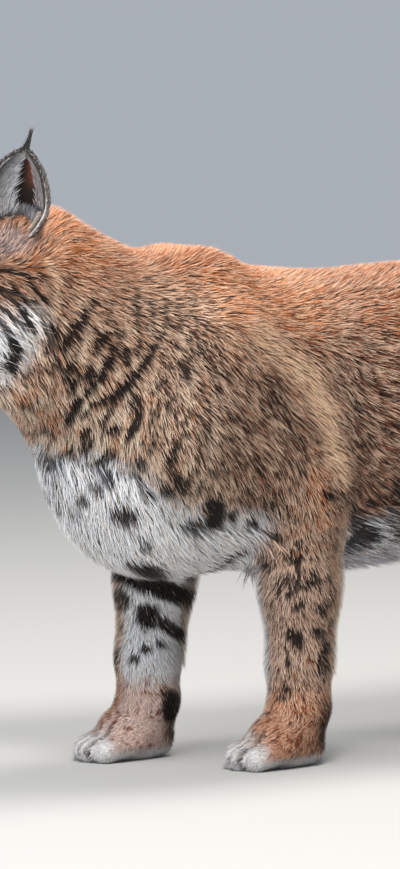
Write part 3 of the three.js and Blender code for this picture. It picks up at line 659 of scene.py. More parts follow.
# Markings read from the photograph: start and end pixels, width in pixels, colour, strength.
# The neck comes first, then the chest, then the rest.
NECK_STROKES = (
    (95, 300, 85, 320, 6, TICK_DARK, 0.7),
    (85, 320, 65, 348, 8, BLACK, 0.85),
    (65, 348, 57, 364, 8, BLACK, 0.75),
    (55, 332, 50, 352, 9, TICK_DARK, 0.8),
    (107, 334, 98, 352, 5.5, BLACK, 0.95),
    (98, 352, 91, 362, 4, TICK_DARK, 0.6),
    (72, 366, 65, 381, 6, BLACK, 0.9),
    (124, 334, 113, 350, 4.5, BLACK, 0.85),
    (113, 350, 111, 361, 4.5, BLACK, 0.85),
    (111, 361, 97, 385, 7.5, BLACK, 1),
    (97, 385, 90, 396, 6.5, BLACK, 1),
    (91, 372, 75, 386, 6.5, BLACK, 1),
    (75, 386, 73, 393, 6, BLACK, 0.95),
    (139, 288, 138, 308, 3.5, TICK_DARK, 0.7),
    (138, 308, 137, 327, 4.5, BLACK, 0.75),
    (140, 342, 137, 354, 4.5, BLACK, 0.8),
    (150, 303, 157, 326, 3, TICK_DARK, 0.75),
    (168, 303, 168, 320, 3, TICK_DARK, 0.65),
    (168, 320, 162, 338, 3.5, TICK_DARK, 0.75),
    (162, 338, 154, 350, 3.5, BLACK, 0.8),
    (154, 350, 140, 371, 6, BLACK, 1),
    (140, 371, 128, 386, 6, BLACK, 0.95),
    (128, 386, 115, 399, 8, BLACK, 1),
    (128, 353, 127, 365, 5.5, BLACK, 0.85),
    (80, 401, 68, 422, 7, BLACK, 1),
    (107, 399, 95, 407, 6, BLACK, 0.9),
    (95, 407, 82, 418, 4.5, TICK_DARK, 0.8),
    (113, 408, 103, 426, 6, TICK_DARK, 0.8),
    (93, 425, 82, 437, 5.5, TICK_DARK, 0.9),
    (118, 430, 105, 437, 7, BLACK, 0.9),
    (138, 399, 134, 409, 6, BLACK, 0.9),
    (140, 416, 133, 430, 7.5, BLACK, 0.9),
    (133, 430, 127, 442, 5.5, TICK_DARK, 0.8),
    (178, 447, 172, 461, 6, BLACK, 0.85),
    (172, 401, 170, 412, 4, TICK_DARK, 0.6),
    (155, 443, 150, 452, 5, TICK_DARK, 0.6),
    (152, 420, 148, 428, 4, TICK_DARK, 0.5),
    (62, 384, 42, 390, 3.5, DEEP_RUFOUS, 0.85),
    (57, 400, 43, 412, 4, DEEP_RUFOUS, 0.75),
    (70, 428, 52, 440, 4, DEEP_RUFOUS, 0.7),
    (48, 420, 34, 430, 4, DEEP_RUFOUS, 0.6),
    (100, 386, 92, 400, 3.5, CREAM, 0.8),
    (106, 412, 92, 426, 4, CREAM, 0.85),
    (110, 438, 93, 444, 4, CREAM, 0.85),
    (122, 410, 110, 428, 3.5, CREAM, 0.75),
    (78, 392, 62, 410, 3.5, CREAM, 0.6),
    (206, 376, 210, 390, 3, DEEP_RUFOUS, 0.9),
    (210, 390, 194, 416, 3.5, DEEP_RUFOUS, 0.9),
    (194, 416, 197, 445, 3, DEEP_RUFOUS, 0.75),
)
CHEST_STROKES = (
    (90, 443, 83, 452, 6, BLACK, 0.85),
    (112, 455, 98, 465, 6, BLACK, 0.75),
    (70, 457, 52, 470, 8, TICK_DARK, 0.75),
    (81, 543, 115, 548, 10, TICK_DARK, 0.85),
    (140, 466, 142, 467, 8, BLACK, 0.7),
    (132, 479, 135, 480, 7, BLACK, 0.8),
    (110, 485, 112, 486, 6, BLACK, 0.75),
    (97, 492, 99, 493, 6, BLACK, 0.75),
    (83, 502, 85, 503, 7, BLACK, 0.75),
    (77, 515, 80, 516, 7, BLACK, 0.7),
    (147, 497, 149, 498, 7, BLACK, 0.75),
    (166, 492, 168, 493, 7, BLACK, 0.75),
    (181, 485, 183, 488, 9, BLACK, 0.8),
    (122, 519, 130, 520, 11, TICK_DARK, 0.85),
    (194, 529, 198, 531, 10, BLACK, 0.8),
    (146, 547, 149, 548, 7, TICK_DARK, 0.6),
)
OTHER_STROKES = (
    # face and ruff
    (24, 306, 34, 332, 8, BLACK, 0.95),
    (4, 326, 12, 336, 6, TICK_DARK, 0.85),
    (16, 344, 20, 354, 8, BLACK, 1),
    (20, 354, 14, 371, 9.5, BLACK, 1),
    (40, 294, 48, 304, 4, BLACK, 0.7),
    (10, 270, 14, 274, 4, TICK_DARK, 0.7),
    (20, 260, 24, 265, 4, TICK_DARK, 0.7),
    (32, 286, 37, 292, 4, TICK_DARK, 0.75),
    (28, 274, 31, 280, 4, TICK_DARK, 0.7),
    (6, 300, 10, 304, 4.5, TICK_DARK, 0.75),
    (14, 286, 18, 293, 4.5, TICK_DARK, 0.75),
    (40, 268, 43, 276, 4, TICK_DARK, 0.7),
    # far foreleg
    (100, 567, 190, 600, 16, BLACK, 1),
    (148, 616, 148, 619, 19, BLACK, 1),
    (165, 625, 184, 639, 10, BLACK, 0.95),
    (120, 598, 122, 603, 13, TICK_DARK, 0.8),
    (145, 650, 148, 651, 8, BLACK, 0.8),
    (160, 646, 163, 647, 7, BLACK, 0.8),
    (132, 661, 135, 661, 8, BLACK, 0.7),
    (171, 699, 170, 715, 12, BLACK, 0.95),
    (176, 542, 190, 580, 7, TICK_DARK, 0.8),
    # near foreleg
    (215, 507, 215, 524, 15, BLACK, 1),
    (242, 541, 242, 547, 13, BLACK, 1),
    (252, 524, 253, 528, 9, TICK_DARK, 0.8),
    (232, 514, 232, 518, 8, BLACK, 0.8),
    (267, 506, 270, 507, 9, TICK_DARK, 0.65),
    (275, 538, 277, 539, 8, TICK_DARK, 0.75),
    (295, 557, 297, 559, 10, TICK_DARK, 0.85),
    (265, 567, 267, 569, 8, TICK_DARK, 0.6),
    (256, 573, 257, 575, 6, TICK_DARK, 0.6),
    (288, 582, 292, 583, 9, TICK_DARK, 0.6),
    (310, 584, 305, 590, 7, TICK_DARK, 0.8),
    (302, 605, 297, 608, 7, TICK_DARK, 0.85),
    (321, 611, 323, 613, 8, TICK_DARK, 0.7),
    (319, 633, 321, 635, 10, TICK_DARK, 0.85),
    (298, 641, 298, 645, 9, BLACK, 0.8),
    (328, 647, 329, 650, 5, TICK_DARK, 0.7),
    (290, 633, 291, 635, 6, TICK_DARK, 0.6),
    (289, 663, 289, 665, 6, TICK_DARK, 0.8),
    (311, 663, 312, 665, 7, DEEP_RUFOUS, 0.9),
    (294, 677, 294, 679, 6, DEEP_RUFOUS, 0.8),
    (286, 688, 287, 690, 6, TICK_DARK, 0.6),
    (299, 691, 301, 691, 7, DEEP_RUFOUS, 0.8),
    (282, 699, 284, 700, 6, TICK_DARK, 0.6),
    (328, 682, 335, 683, 4, BLACK, 0.8),
    (326, 495, 334, 500, 6, TICK_DARK, 0.8),
    (292, 535, 316, 527, 7, DEEP_RUFOUS, 0.8),
    (296, 556, 330, 544, 5, DEEP_RUFOUS, 0.75),
    (288, 595, 330, 578, 3.5, TICK_DARK, 0.75),
    (290, 510, 320, 504, 5, DEEP_RUFOUS, 0.7),
    # side and belly
    (352, 508, 353, 512, 10, BLACK, 0.8),
    (369, 504, 371, 508, 9, TICK_DARK, 0.75),
    (397, 482, 397, 504, 8, TICK_DARK, 0.85),
    (389, 526, 381, 554, 17, BLACK, 0.95),
    (347, 549, 359, 556, 12, BLACK, 0.95),
    (366, 540, 372, 556, 8, TICK_DARK, 0.7),
    (296, 262, 305, 275, 9, TICK_DARK, 0.4),
)
# Broad soft bands, painted before the strokes: the same numbers
BANDS = (
    # The first four bands, pale along the ridge of the upper arm: the fur's pale tone, brightened as
    # painted light on the lit ridge
    (222, 338, 262, 352, 20, PALE_RUFOUS, 0.35),
    (262, 332, 300, 370, 26, PALE_RUFOUS, 0.7),
    (300, 370, 326, 412, 25, PALE_RUFOUS, 0.9),
    (326, 412, 343, 478, 19, PALE_RUFOUS, 1),
    (272, 385, 300, 440, 20, TICK_DARK, 0.3),
    (296, 392, 318, 470, 14, DEEP_RUFOUS, 0.6),
    (318, 480, 326, 520, 22, RUFOUS, 0.8),
    (352, 300, 350, 440, 26, GREY_BROWN, 0.4),
    (268, 706, 306, 710, 10, RUFOUS, 0.5),
    (300, 284, 400, 280, 28, DEEP_RUFOUS, 0.3),
)
FACE_BANDS = (
    (50, 262, 59, 284, 8, PALE_RUFOUS, 0.85),
    (59, 284, 56, 314, 8, PALE_RUFOUS, 0.85),
    (26, 350, 40, 318, 24, WHITE, 0.75),
    (2, 372, 12, 362, 20, WHITE, 1),
    (45, 352, 52, 362, 12, BUFF, 0.7),
)


def place_strokes(strokes, widen=1.0):
    """Each stroke as its middle on the skin, axes in millimetres, half length, half width, colour."""
    placed = []
    for x0, y0, x1, y1, wide, colour, strength in strokes:
        ray = photo_ray((x0 + x1) / 2, (y0 + y1) / 2)
        hit = skin_tree.ray_cast(Vector(eye_point), Vector(ray))[0]
        if hit is None:
            continue
        pixel = (np.array(hit) - eye_point) @ -back / FOCAL_PIXELS
        along = (photo_right * (x1 - x0) - photo_up * (y1 - y0)) * pixel
        half_long = np.linalg.norm(along) / 2
        half_wide = widen * wide * pixel / 2
        placed.append((np.array(hit), unit(along), half_long, half_wide, colour, strength))
    return placed


def paint_strokes(p, placed, soft, coat):
    """Paints strokes on their own side of the body and mirrored on the other."""
    colour, dark, pale = coat
    ragged = p + 1.3 * np.stack([noise(p, 5, 60 + n) for n in range(3)], 1)
    for centre, along, half_long, half_wide, shade, strength in placed:
        shade_dark = shade in (BLACK, TICK_DARK)
        for flip in (np.ones(3), np.array((1, -1, 1))):
            q = (ragged - centre * flip) * flip
            near = np.nonzero((q**2).sum(1) < (half_long + 2 * half_wide + 45) ** 2)[0]
            q = q[near]
            t = np.clip(q @ along, -half_long, half_long)
            off = q - t[:, None] * along
            deep = off @ back
            flat = np.linalg.norm(off - deep[:, None] * back, axis=1)
            share = ramp(flat, half_wide * (1 + soft), half_wide * (1 - soft)) * strength
            share = share * ramp(np.abs(deep), 42, 28)
            colour[near] += (linear(shade) - colour[near]) * share[:, None]
            dark[near] += ((0.9 if shade_dark else 0.1) - dark[near]) * share
            pale[near] += ((0.02 if shade_dark else 0.6) - pale[near]) * share
    return colour, dark, pale


strokes = place_strokes(NECK_STROKES, 1.4) + place_strokes(CHEST_STROKES, 1.9)
strokes += place_strokes(OTHER_STROKES, 1.3)
bands, face_bands = place_strokes(BANDS), place_strokes(FACE_BANDS)

# Lines of the face in the head's side view: start x, z, end x, z, width
FACE_LINES = (
    (-40, 5, -16, 3, 3.5),
    (-44, -10, -18, -14, 3),
    (-18, -14, 8, -26, 4),
    (-50, -22, -24, -32, 3.5),
    (-24, -32, -8, -48, 4.5),
    (8, -26, 18, -54, 5.5),
    (-8, -48, -4, -74, 6.5),
    (-16, 3, 12, -6, 3.5),
)


def line_cover(a, b, lines):
    """How much lines (start a, b, end a, b, width) cover points of a plane."""
    cover = np.zeros(len(a))
    for a0, b0, a1, b1, wide in lines:
        long = math.hypot(a1 - a0, b1 - b0)
        ua, ub = (a1 - a0) / long, (b1 - b0) / long
        t = np.clip((a - a0) * ua + (b - b0) * ub, 0, long)
        off = np.hypot(a - a0 - t * ua, b - b0 - t * ub)
        cover = np.maximum(cover, ramp(off, wide * 0.75, wide * 0.3))
    return cover


def coat_paint(p):
    """Ground colour at points, and the shares of dark and of pale tips there."""
    x, y, z = p.T
    side = np.abs(y)
    wander = noise(p, 30, 1)
    fine = noise(p, 11, 8)
    mirrored = np.c_[x, side, z]
    colour = np.tile(linear(RUFOUS), (len(p), 1))
    dark, pale = np.full(len(p), 0.2), np.full(len(p), 0.34)

    def paint(shade, share, dark_share=None, pale_share=None):
        nonlocal colour, dark, pale
        share = np.clip(share, 0, 1)
        colour = mix(colour, linear(shade), share)
        if dark_share is not None:
            dark = mix(dark, dark_share, share)
        if pale_share is not None:
            pale = mix(pale, pale_share, share)

    paint(DEEP_RUFOUS, 0.4 * ramp(noise(p, 45, 2), 0.0, 0.6))
    paint(PALE_RUFOUS, 0.35 * ramp(noise(p, 38, 9), 0.1, 0.6))
    flank = ramp(z + 14 * wander, 435, 350) * ramp(x, -190, -140)
    paint(GREY_BROWN, 0.72 * flank, 0.4, 0.34)
    paint(DEEP_RUFOUS, 0.4 * ramp(x, 0, 60), 0.3, 0.34)
    spots = ramp(noise(mirrored * (0.7, 1, 1), 9, 3), 0.34, 0.5)
    paint(TICK_DARK, 0.42 * spots * ramp(x, 10, 80) * ramp(z, 440, 380))
    paint(DEEP_RUFOUS, 0.35 * spots * ramp(x, 10, 80) * ramp(z, 400, 440))

    neck = ramp(x, -96, -140) * ramp(z + 10 * wander, 470, 425)
    paint(BUFF, 0.6 * neck, 0.36, 0.4)
    across = mirrored @ unit(np.array((0.93, 0.1, -0.37)))
    along = mirrored @ unit(np.array((-0.37, 0, -0.93)))
    bent = np.c_[across, along, np.zeros(len(p))] + 5 * wander[:, None]
    streak = ramp(noise(bent, (5, 24, 1), 4), 0.12, 0.45)
    paint(TICK_DARK, 0.6 * neck * streak * ramp(z, 455, 400), 0.8, 0.05)
    between = ramp(noise(bent, (5, 24, 1), 4), 0.0, -0.4)
    paint(CREAM, 0.75 * neck * between * ramp(z, 455, 400), 0.08, 0.6)
    mottle = noise(mirrored, 5.5, 19)
    paint(TICK_DARK, 0.55 * flank * ramp(mottle, 0.05, 0.45), 0.5, 0.1)
    paint(CREAM, 0.45 * flank * ramp(mottle, -0.1, -0.5), 0.1, 0.6)

    throat = ramp(z + 10 * wander, 372, 340) * ramp(x, -165, -205)
    paint(CREAM, 0.85 * throat, 0.12, 0.4)
    paint(RUFOUS, 0.8 * throat * ramp(noise(bent, (6, 22, 1), 5), 0.0, 0.35), 0.3, 0.3)
    front = ramp(side, 46, 20) * ramp(x, -200, -240)
    paint(TICK_DARK, 0.7 * throat * front * ramp(noise(bent, (7, 9, 9), 15), 0.25, 0.45), 0.8, 0)

    chest_top = 296 - 0.32 * (x + 230)
    white = ramp(z + 9 * wander + 9 * fine, chest_top + 8, chest_top - 10) * ramp(x, -30, -66)
    white *= ramp(side, 104, 84)
    belly = ramp(z + 8 * wander + 7 * fine, 232, 212) * ramp(x, -60, -20) * ramp(x, 330, 290)
    white = np.maximum(white, belly * ramp(side, 94, 76))
    paint(WHITE, white, 0.03, 0.1)
    # Painted shade: blue-grey blotches over the white of the chest and belly
    paint(BLUE_GREY, 0.42 * white * ramp(noise(p, (30, 12, 16), 16), -0.1, 0.5), 0.05, 0.2)
    belly_spots = ramp(noise(mirrored, 19, 6), 0.02, 0.26) * belly * ramp(z, 186, 194)
    paint(BLACK, 0.9 * belly_spots, 0.9, 0)
    border = belly * ramp(z, 240, 222) * ramp(z, 194, 204) * ramp(side, 50, 70) * ramp(x, 60, 110)
    paint(BLACK, 0.75 * border * ramp(noise(mirrored, (26, 20, 30), 18), -0.3, 0.1), 0.8, 0.02)
    # Painted shade: blue-grey on the lowest fur of the belly, under the body
    paint(BLUE_GREY, 0.6 * belly * ramp(z, 200, 186), 0.05, 0.3)

    leg = legness(p)
    forward, out = limb_place(p)
    inner = ramp(out, 6, -12) * np.maximum(leg, ramp(z, 250, 215) * ramp(x, -40, -60))
    paint(BUFF, leg * 0.9, 0.2, 0.5)
    rear = ramp(forward, -8, -22) * ramp(x, 110, 90) * ramp(z, 70, 110) * ramp(z, 330, 280)
    paint(RUFOUS, 0.6 * leg * rear, 0.15, 0.4)
    leg_spots = ramp(noise(mirrored * (1.2, 1, 0.8), 8, 7), 0.34, 0.5)
    paint(TICK_DARK, 0.8 * leg_spots * leg * (1 - inner) * ramp(z, 40, 80), 0.8, 0.05)
    paint(WHITE, inner, 0.04, 0.1)
    # Cream along the rear edge of the forelegs: pale fur there, and painted rim light along that edge
    paint(CREAM, leg * ramp(forward, -16, -27) * ramp(x, 110, 90) * ramp(z, 70, 110), 0.04, 0.4)
    bars = ramp(np.sin(z / 8.6 + 0.9 * wander + x / 60), 0.55, 0.85) * ramp(z, 300, 270)
    thigh = ramp(x, 130, 170) * ramp(z, 120, 150) * np.maximum(leg, ramp(z, 300, 250))
    paint(BLACK, 0.85 * bars * thigh * ramp(out, 12, -14) * ramp(side, 22, 38), 0.9, 0.02)

    on_paw = ramp(z, 86, 60) * leg
    paint(RUFOUS, 0.55 * on_paw, 0.12, 0.45)
    freckles = ramp(noise(p, 4.5, 17), 0.2, 0.5)
    paint(DEEP_RUFOUS, 0.8 * on_paw * freckles, 0.4, 0.2)
    toes = ramp(forward + 6 * fine, 44, 62) * ramp(z + 5 * wander, 40, 26)
    paint(WHITE, 0.9 * leg * np.maximum(toes, ramp(z, 14, 6)), 0.03, 0.1)
    # Painted shade in the grooves between the toes
    paint(TICK_DARK, 0.75 * leg * toe_splits(p), 0.6, 0)
    heel = ramp(forward, 2, -14) * ramp(z, 70, 50) * ramp(z, 8, 20)
    paint(TICK_DARK, 0.75 * leg * heel, 0.6, 0.05)

    tail_share = ramp(tail(p), 9, 1) * ramp(x, 360, 380)
    paint(RUFOUS, 0.6 * tail_share, 0.2, 0.4)
    below = ramp(z - 0.9 * (466 - x), 372, 352) * ramp(x, 380, 410)
    paint(WHITE, 0.9 * tail_share * below, 0.05, 0.2)
    tail_way = np.hypot(x - 352, z - 428)
    tail_bars = ramp(np.sin(tail_way / 5.2), 0.3, 0.7) * ramp(tail_way, 40, 60)
    tail_top = ramp(x + 0.9 * (z - 428), 398, 412)
    paint(BLACK, tail_share * tail_top * np.maximum(tail_bars, ramp(tail_way, 108, 116)), 0.9, 0.02)

    colour, dark, pale = paint_strokes(p, bands, 0.9, (colour, dark, pale))
    colour, dark, pale = face_paint(p, colour, dark, pale, wander)
    colour, dark, pale = paint_strokes(p, face_bands, 0.8, (colour, dark, pale))
    return paint_strokes(p, strokes, 0.35, (colour, dark, pale))


def face_paint(p, colour, dark, pale, wander):
    """The head's markings over the coat's colour."""
    face = headness(p)
    h = to_head(p)
    hx, hy, hz = h.T
    side = np.abs(hy)

    def paint(shade, share, dark_share, pale_share):
        nonlocal colour, dark, pale
        share = np.clip(share, 0, 1) * face
        colour = mix(colour, linear(shade), share)
        dark = mix(dark, dark_share, share)
        pale = mix(pale, pale_share, share)

    def blob(centre, radii, soft=0.35):
        off = (h * (1, 0, 1) + np.c_[0 * hx, side, 0 * hx]) - centre
        return ramp(np.sqrt((off**2 / np.square(radii)).sum(1)), 1 + soft, 1 - soft)

    fine = noise(h, 6, 40)
    paint(BUFF, 0.55 * ramp(hx, 20, -20), 0.3, 0.4)
    paint(GREY_BROWN, 0.6 * ramp(fine, 0.0, 0.5) * ramp(hx, -66, -40), 0.4, 0.3)
    paint(DEEP_RUFOUS, 0.65 * blob((-75, 0, 0), (30, 12, 22)), 0.2, 0.3)
    crown = ramp(hz, 14, 30) * ramp(hx, -62, -50)
    stripes = ramp(np.cos(side / 1.75 + 0.3 * wander), 0.1, 0.7) * ramp(side, 34, 26)
    paint(BLACK, 0.75 * crown * stripes * ramp(hx, 30, 0), 0.8, 0.05)
    ruff = blob((-14, 50, -58), (44, 40, 30))
    paint(WHITE, 0.85 * ruff, 0.06, 0.2)
    # Painted shade: blue-grey patches over the white ruff
    paint(BLUE_GREY, 0.4 * ruff * ramp(noise(h, (9, 9, 16), 41), 0, 0.5), 0.1, 0.2)
    lines = line_cover(hx + 2.5 * wander, hz + 1.5 * fine, FACE_LINES) * ramp(side, 24, 34)
    paint(BLACK, 0.9 * lines, 0.9, 0.02)
    muzzle = np.maximum(blob((-88, 14, -40), (27, 22, 16)), blob((-84, 0, -58), (30, 26, 14)))
    paint(WHITE, 0.95 * muzzle, 0.03, 0.1)
    paint(CREAM, 0.6 * blob((-60, 27, 15), (13, 10, 3.6), 0.9), 0.06, 0.3)
    paint(WHITE, 0.7 * blob((-68, 30, -3), (13, 11, 4), 0.9), 0.05, 0.2)
    paint(BLUE_GREY, 0.55 * blob(EAR_PLACE + (-4, 2, -6), (24, 22, 14)), 0.35, 0.3)
    under = ramp(hz, -52, -66) * ramp(hx, 20, -10)
    paint(WHITE, 0.9 * under, 0.04, 0.1)
    whisker_rows = ramp(np.cos((hz + 42) * 1.05), 0.75, 0.95) * ramp(np.cos(hx * 0.75), 0.2, 0.8)
    paint(BLACK, 0.8 * whisker_rows * blob((-86, 28, -38), (14, 12, 9), 0.1), 0.5, 0.05)
    lips = ramp(mouth_line(np.float32(h)), 1.1, 0.2)
    paint(BLACK, 0.75 * lips * ramp(hx, -76, -96), 0.8, 0)
    for _, s in SIDES:
        e = (h - EYE * (1, s, 1)) @ eye_turn(s)
        wide = 0.8 + 1.6 * ramp(s * e[:, 1], -6, -12)
        rim = ramp(almond(np.float32(e)) - wide, 1.6, 0.2) * (e[:, 0] < 2)
        paint(BLACK, rim, 0.9, 0)
    return colour, dark, pale


def make_skin():
    colour, dark, _ = coat_paint(skin_points)
    # Painted shade: the skin between the tufts is darkened to stand for the shadow deep in the coat
    shaded = colour * (0.62 - 0.3 * dark)[:, None]
    underfur_painted_shade = painted_material("underfur_painted_shade", 0.9, 0.1, (900, 0.65, 1.25, 3), (0.0008, 0.8))
    skin = make_piece("skin", skin_points, skin_faces, underfur_painted_shade, colours=shaded)
    flesh = [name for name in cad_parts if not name.startswith(("eye", "nose", "ear"))]
    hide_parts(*flesh)
    return skin


# The coat


def lie(p, n):
    """Which way the coat lies at points of the skin."""
    x, y, z = p.T
    side = np.sign(y)
    zero = np.zeros(len(p))
    outside = ramp(np.abs(n[:, 1]), 0.3, 0.9)
    way = np.c_[zero + 1, zero, -0.15 - 0.5 * outside]

    def comb(direction, share):
        nonlocal way
        way = mix(way, unit(np.stack(np.broadcast_arrays(*direction), axis=1)), share)

    comb((zero + 1, 0.15 * side, zero), ramp(z, 260, 210) * ramp(x, -40, 0))
    comb((zero + 0.7, zero, zero - 0.8), ramp(x, -90, -150))
    front = ramp(n[:, 0], -0.2, -0.8) * ramp(x, -60, -120)
    comb((zero + 0.25, 0.2 * side, zero - 1), front)
    arm = ramp(np.abs(y), 70, 95) * ramp(z, 430, 380) * ramp(x, 70, 20) * ramp(x, -210, -150)
    comb((zero + 0.4, zero, zero - 1), arm)
    thigh = ramp(np.abs(y), 55, 85) * ramp(z, 440, 370) * ramp(x, 150, 210)
    comb((zero + 0.6, zero, zero - 1), thigh)
    comb((zero + 0.25, zero, zero - 1), ramp(z, 250, 200) * legness(p))
    comb((zero - 1, zero, zero - 0.55), ramp(z, 62, 36) * legness(p))
    tail_way = unit(np.c_[ramp(z, 330, 425), zero, -ramp(x, 380, 440)] + (0.02, 0, -0.02))
    way = mix(way, tail_way, ramp(tail(p), 9, 0) * ramp(x, 362, 385))
    h = to_head(p)
    away = unit(h - (-116, 0, -24))
    cheek = ramp(np.abs(h[:, 1]), 22, 46) * ramp(h[:, 2], 22, -12) * ramp(h[:, 0], -62, -20)
    away = mix(away, np.array((0.55, 0, -1.0)), cheek)
    for _, s in SIDES:
        off = np.linalg.norm(h - (EAR_PLACE * (1, s, 1) + (2, 0, -2)), axis=1)
        away = mix(away, np.array((0.5, 0.5 * s, 0.8)), ramp(off, 38, 24))
    way = mix(way, unit(away) @ head_turn.T, headness(p))
    return way


def spread_roots(density):
    """Random root places on the skin, density(points) of them for each square millimetre."""
    corners = skin_points[skin_faces]
    middle = corners.mean(1)
    area = 0.5 * np.linalg.norm(
        np.cross(corners[:, 2] - corners[:, 0], corners[:, 3] - corners[:, 1]), axis=1
    )
    total = np.cumsum(area * density(middle))
    count = int(total[-1])
    at = np.searchsorted(total, (np.arange(count) + random.random(count)) * total[-1] / count)
    u, v = random.random((2, count, 1))
    a, b, c, d = corners[at].transpose(1, 0, 2)
    roots = (a * (1 - u) + b * u) * (1 - v) + (d * (1 - u) + c * u) * v
    return roots.astype(np.float32)


def settle(p, target):
    """Points moved along the body's slope until its field there is target."""
    for _ in range(2):
        steep = slope(outline, p)
        p = p - steep * ((outline(p) - target) / np.maximum((steep**2).sum(1), 0.3))[:, None]
    return p, unit(steep)


def grow_tufts(roots, way, long, wide, lift, bends):
    """Stations of tufts that rise from the skin to lift above the coat's outline, and their frames.

    Each station after the root lies on a level of the body's field, so tufts follow the form.
    """
    normal = unit(slope(body, roots, 3))
    level = outline(roots)
    goal = np.maximum(lift, level + 0.4)
    stations, sides, normals = [], [], []
    p = roots - normal * 0.8
    here = roots
    for n in range(bends + 2):
        tangent = unit(way - (way * normal).sum(1)[:, None] * normal)
        stations.append(p)
        normals.append(normal)
        sides.append(np.cross(normal, tangent))
        if n <= bends:
            share = (n + 1) / (bends + 1)
            rise = share**0.6
            here = here + tangent * (long / (bends + 1))[:, None]
            here, normal = settle(here.astype(np.float32), level * (1 - rise) + goal * rise)
            p = here
    return np.stack(stations, 1), np.stack(sides, 1), np.stack(normals, 1)


def tuft_piece(name, stations, sides, normals, wide, colours, unwrap, material, flat=0.35):
    """One mesh of closed three-sided tufts, one for each row of stations."""
    count, rings = len(stations), stations.shape[1] - 1
    shares = np.interp(np.arange(rings) / max(rings - 1, 1), (0, 0.5, 1), (0.8, 1, 0.75))
    verts, shade_normals = [], []
    for n in range(rings):
        half = (shares[n] * wide / 2)[:, None] * sides[:, n]
        top = (shares[n] * wide * flat)[:, None] * normals[:, n]
        verts += [stations[:, n] - half, stations[:, n] + half, stations[:, n] + top]
        own = unit(sides[:, n])
        shade_normals += [normals[:, n] - 0.8 * own, normals[:, n] + 0.8 * own, normals[:, n]]
    verts.append(stations[:, -1])
    shade_normals.append(normals[:, -1])
    verts = np.stack(verts, 1)
    verts[..., 2] = np.maximum(verts[..., 2], 0.3)
    faces = [(0, 2, 1)]
    for n in range(rings):
        for i, j in ((0, 1), (1, 2), (2, 0)):
            a, b = 3 * n + i, 3 * n + j
            if n == rings - 1:
                faces.append((a, b, 3 * rings))
            else:
                faces += [(a, b, b + 3), (a, b + 3, a + 3)]
    each = 3 * rings + 1
    faces = (np.array(faces)[None] + each * np.arange(count)[:, None, None]).reshape(-1, 3)
    across = np.append(np.tile((0, 1, 0.5), rings), 0.5)
    along = np.append(np.repeat(np.arange(rings), 3), rings) / rings
    patch = 0.003 * np.stack((across - 0.5, along - 0.5), 1)
    bake = unwrap[:, None] + patch[None]
    strands = np.stack((across, 0.35 * along), 1)[None] + random.random((count, 1, 2)) * 40
    uv = {"OFBake": bake.reshape(-1, 2), "Strands": strands.reshape(-1, 2)}
    # Roots darker than tips: darker hair low in the coat, and painted shade from the tufts above
    tone = np.repeat(colours, [3] * rings + [1], axis=1)
    tone = tone * (ROOT_UNDERCOAT_AND_SHADE + (1 - ROOT_UNDERCOAT_AND_SHADE) * along)[None, :, None]
    return make_piece(
        name,
        verts.reshape(-1, 3),
        faces,
        material,
        normals=unit(np.stack(shade_normals, 1)).reshape(-1, 3),
        colours=tone.reshape(-1, 3),
        uv=uv,
    )


def tuft_colours(stations, spread=0.27):
    """Colours at the stations of tufts, with the coat's paint taken where they show."""
    count, levels = stations.shape[:2]
    shown = 0.3 * stations[:, -2] + 0.7 * stations[:, -1]
    ground, dark, pale = coat_paint(shown)
    tones = np.repeat(ground[:, None], levels, axis=1)
    if levels > 2:
        tones[:, : levels - 2] = coat_paint(stations[:, : levels - 2].reshape(-1, 3))[0].reshape(
            count, -1, 3
        )
    tones *= np.exp(spread * random.normal(size=(count, 1, 1))).clip(0.5, 1.6)
    pick = random.random(count)
    is_dark = pick < dark
    is_pale = (pick > 1 - pale) & ~is_dark
    tones[:, -1] *= 1.15
    tones[is_dark] *= 0.5
    tones[is_dark, -1] = linear(TICK_DARK) * (0.4 + 0.8 * random.random((is_dark.sum(), 1)))
    tones[is_pale, -1] = 0.3 * tones[is_pale, -1] + 0.7 * linear(TICK_PALE)
    return tones.clip(0, 1)


# Styles of coat: spacing, length, width, lift over the outline, bends
COATS = {
    "face": (1.02, 4.2, 0.75, 0.2, 0),
    "head": (1.3, 8, 1.1, 0.4, 0),
    "cheek": (1.4, 11, 1.15, 0.5, 0),
    "ruff": (1.95, 30, 2.0, 4, 2),
    "neck": (1.55, 11.5, 1.5, 0.8, 0),
    "trunk": (1.69, 11.5, 1.6, 0.7, 0),
    "fringe": (2.05, 30, 2.1, 2.0, 1),
    "belly": (2.42, 38, 2.2, 12, 1),
    "leg": (1.45, 8, 1.3, 0.3, 0),
    "feather": (1.6, 19, 1.2, 3.2, 0),
    "paw": (1.4, 5.5, 1.15, 0.1, 0),
    "tail": (1.7, 14, 1.7, 0.8, 0),
}


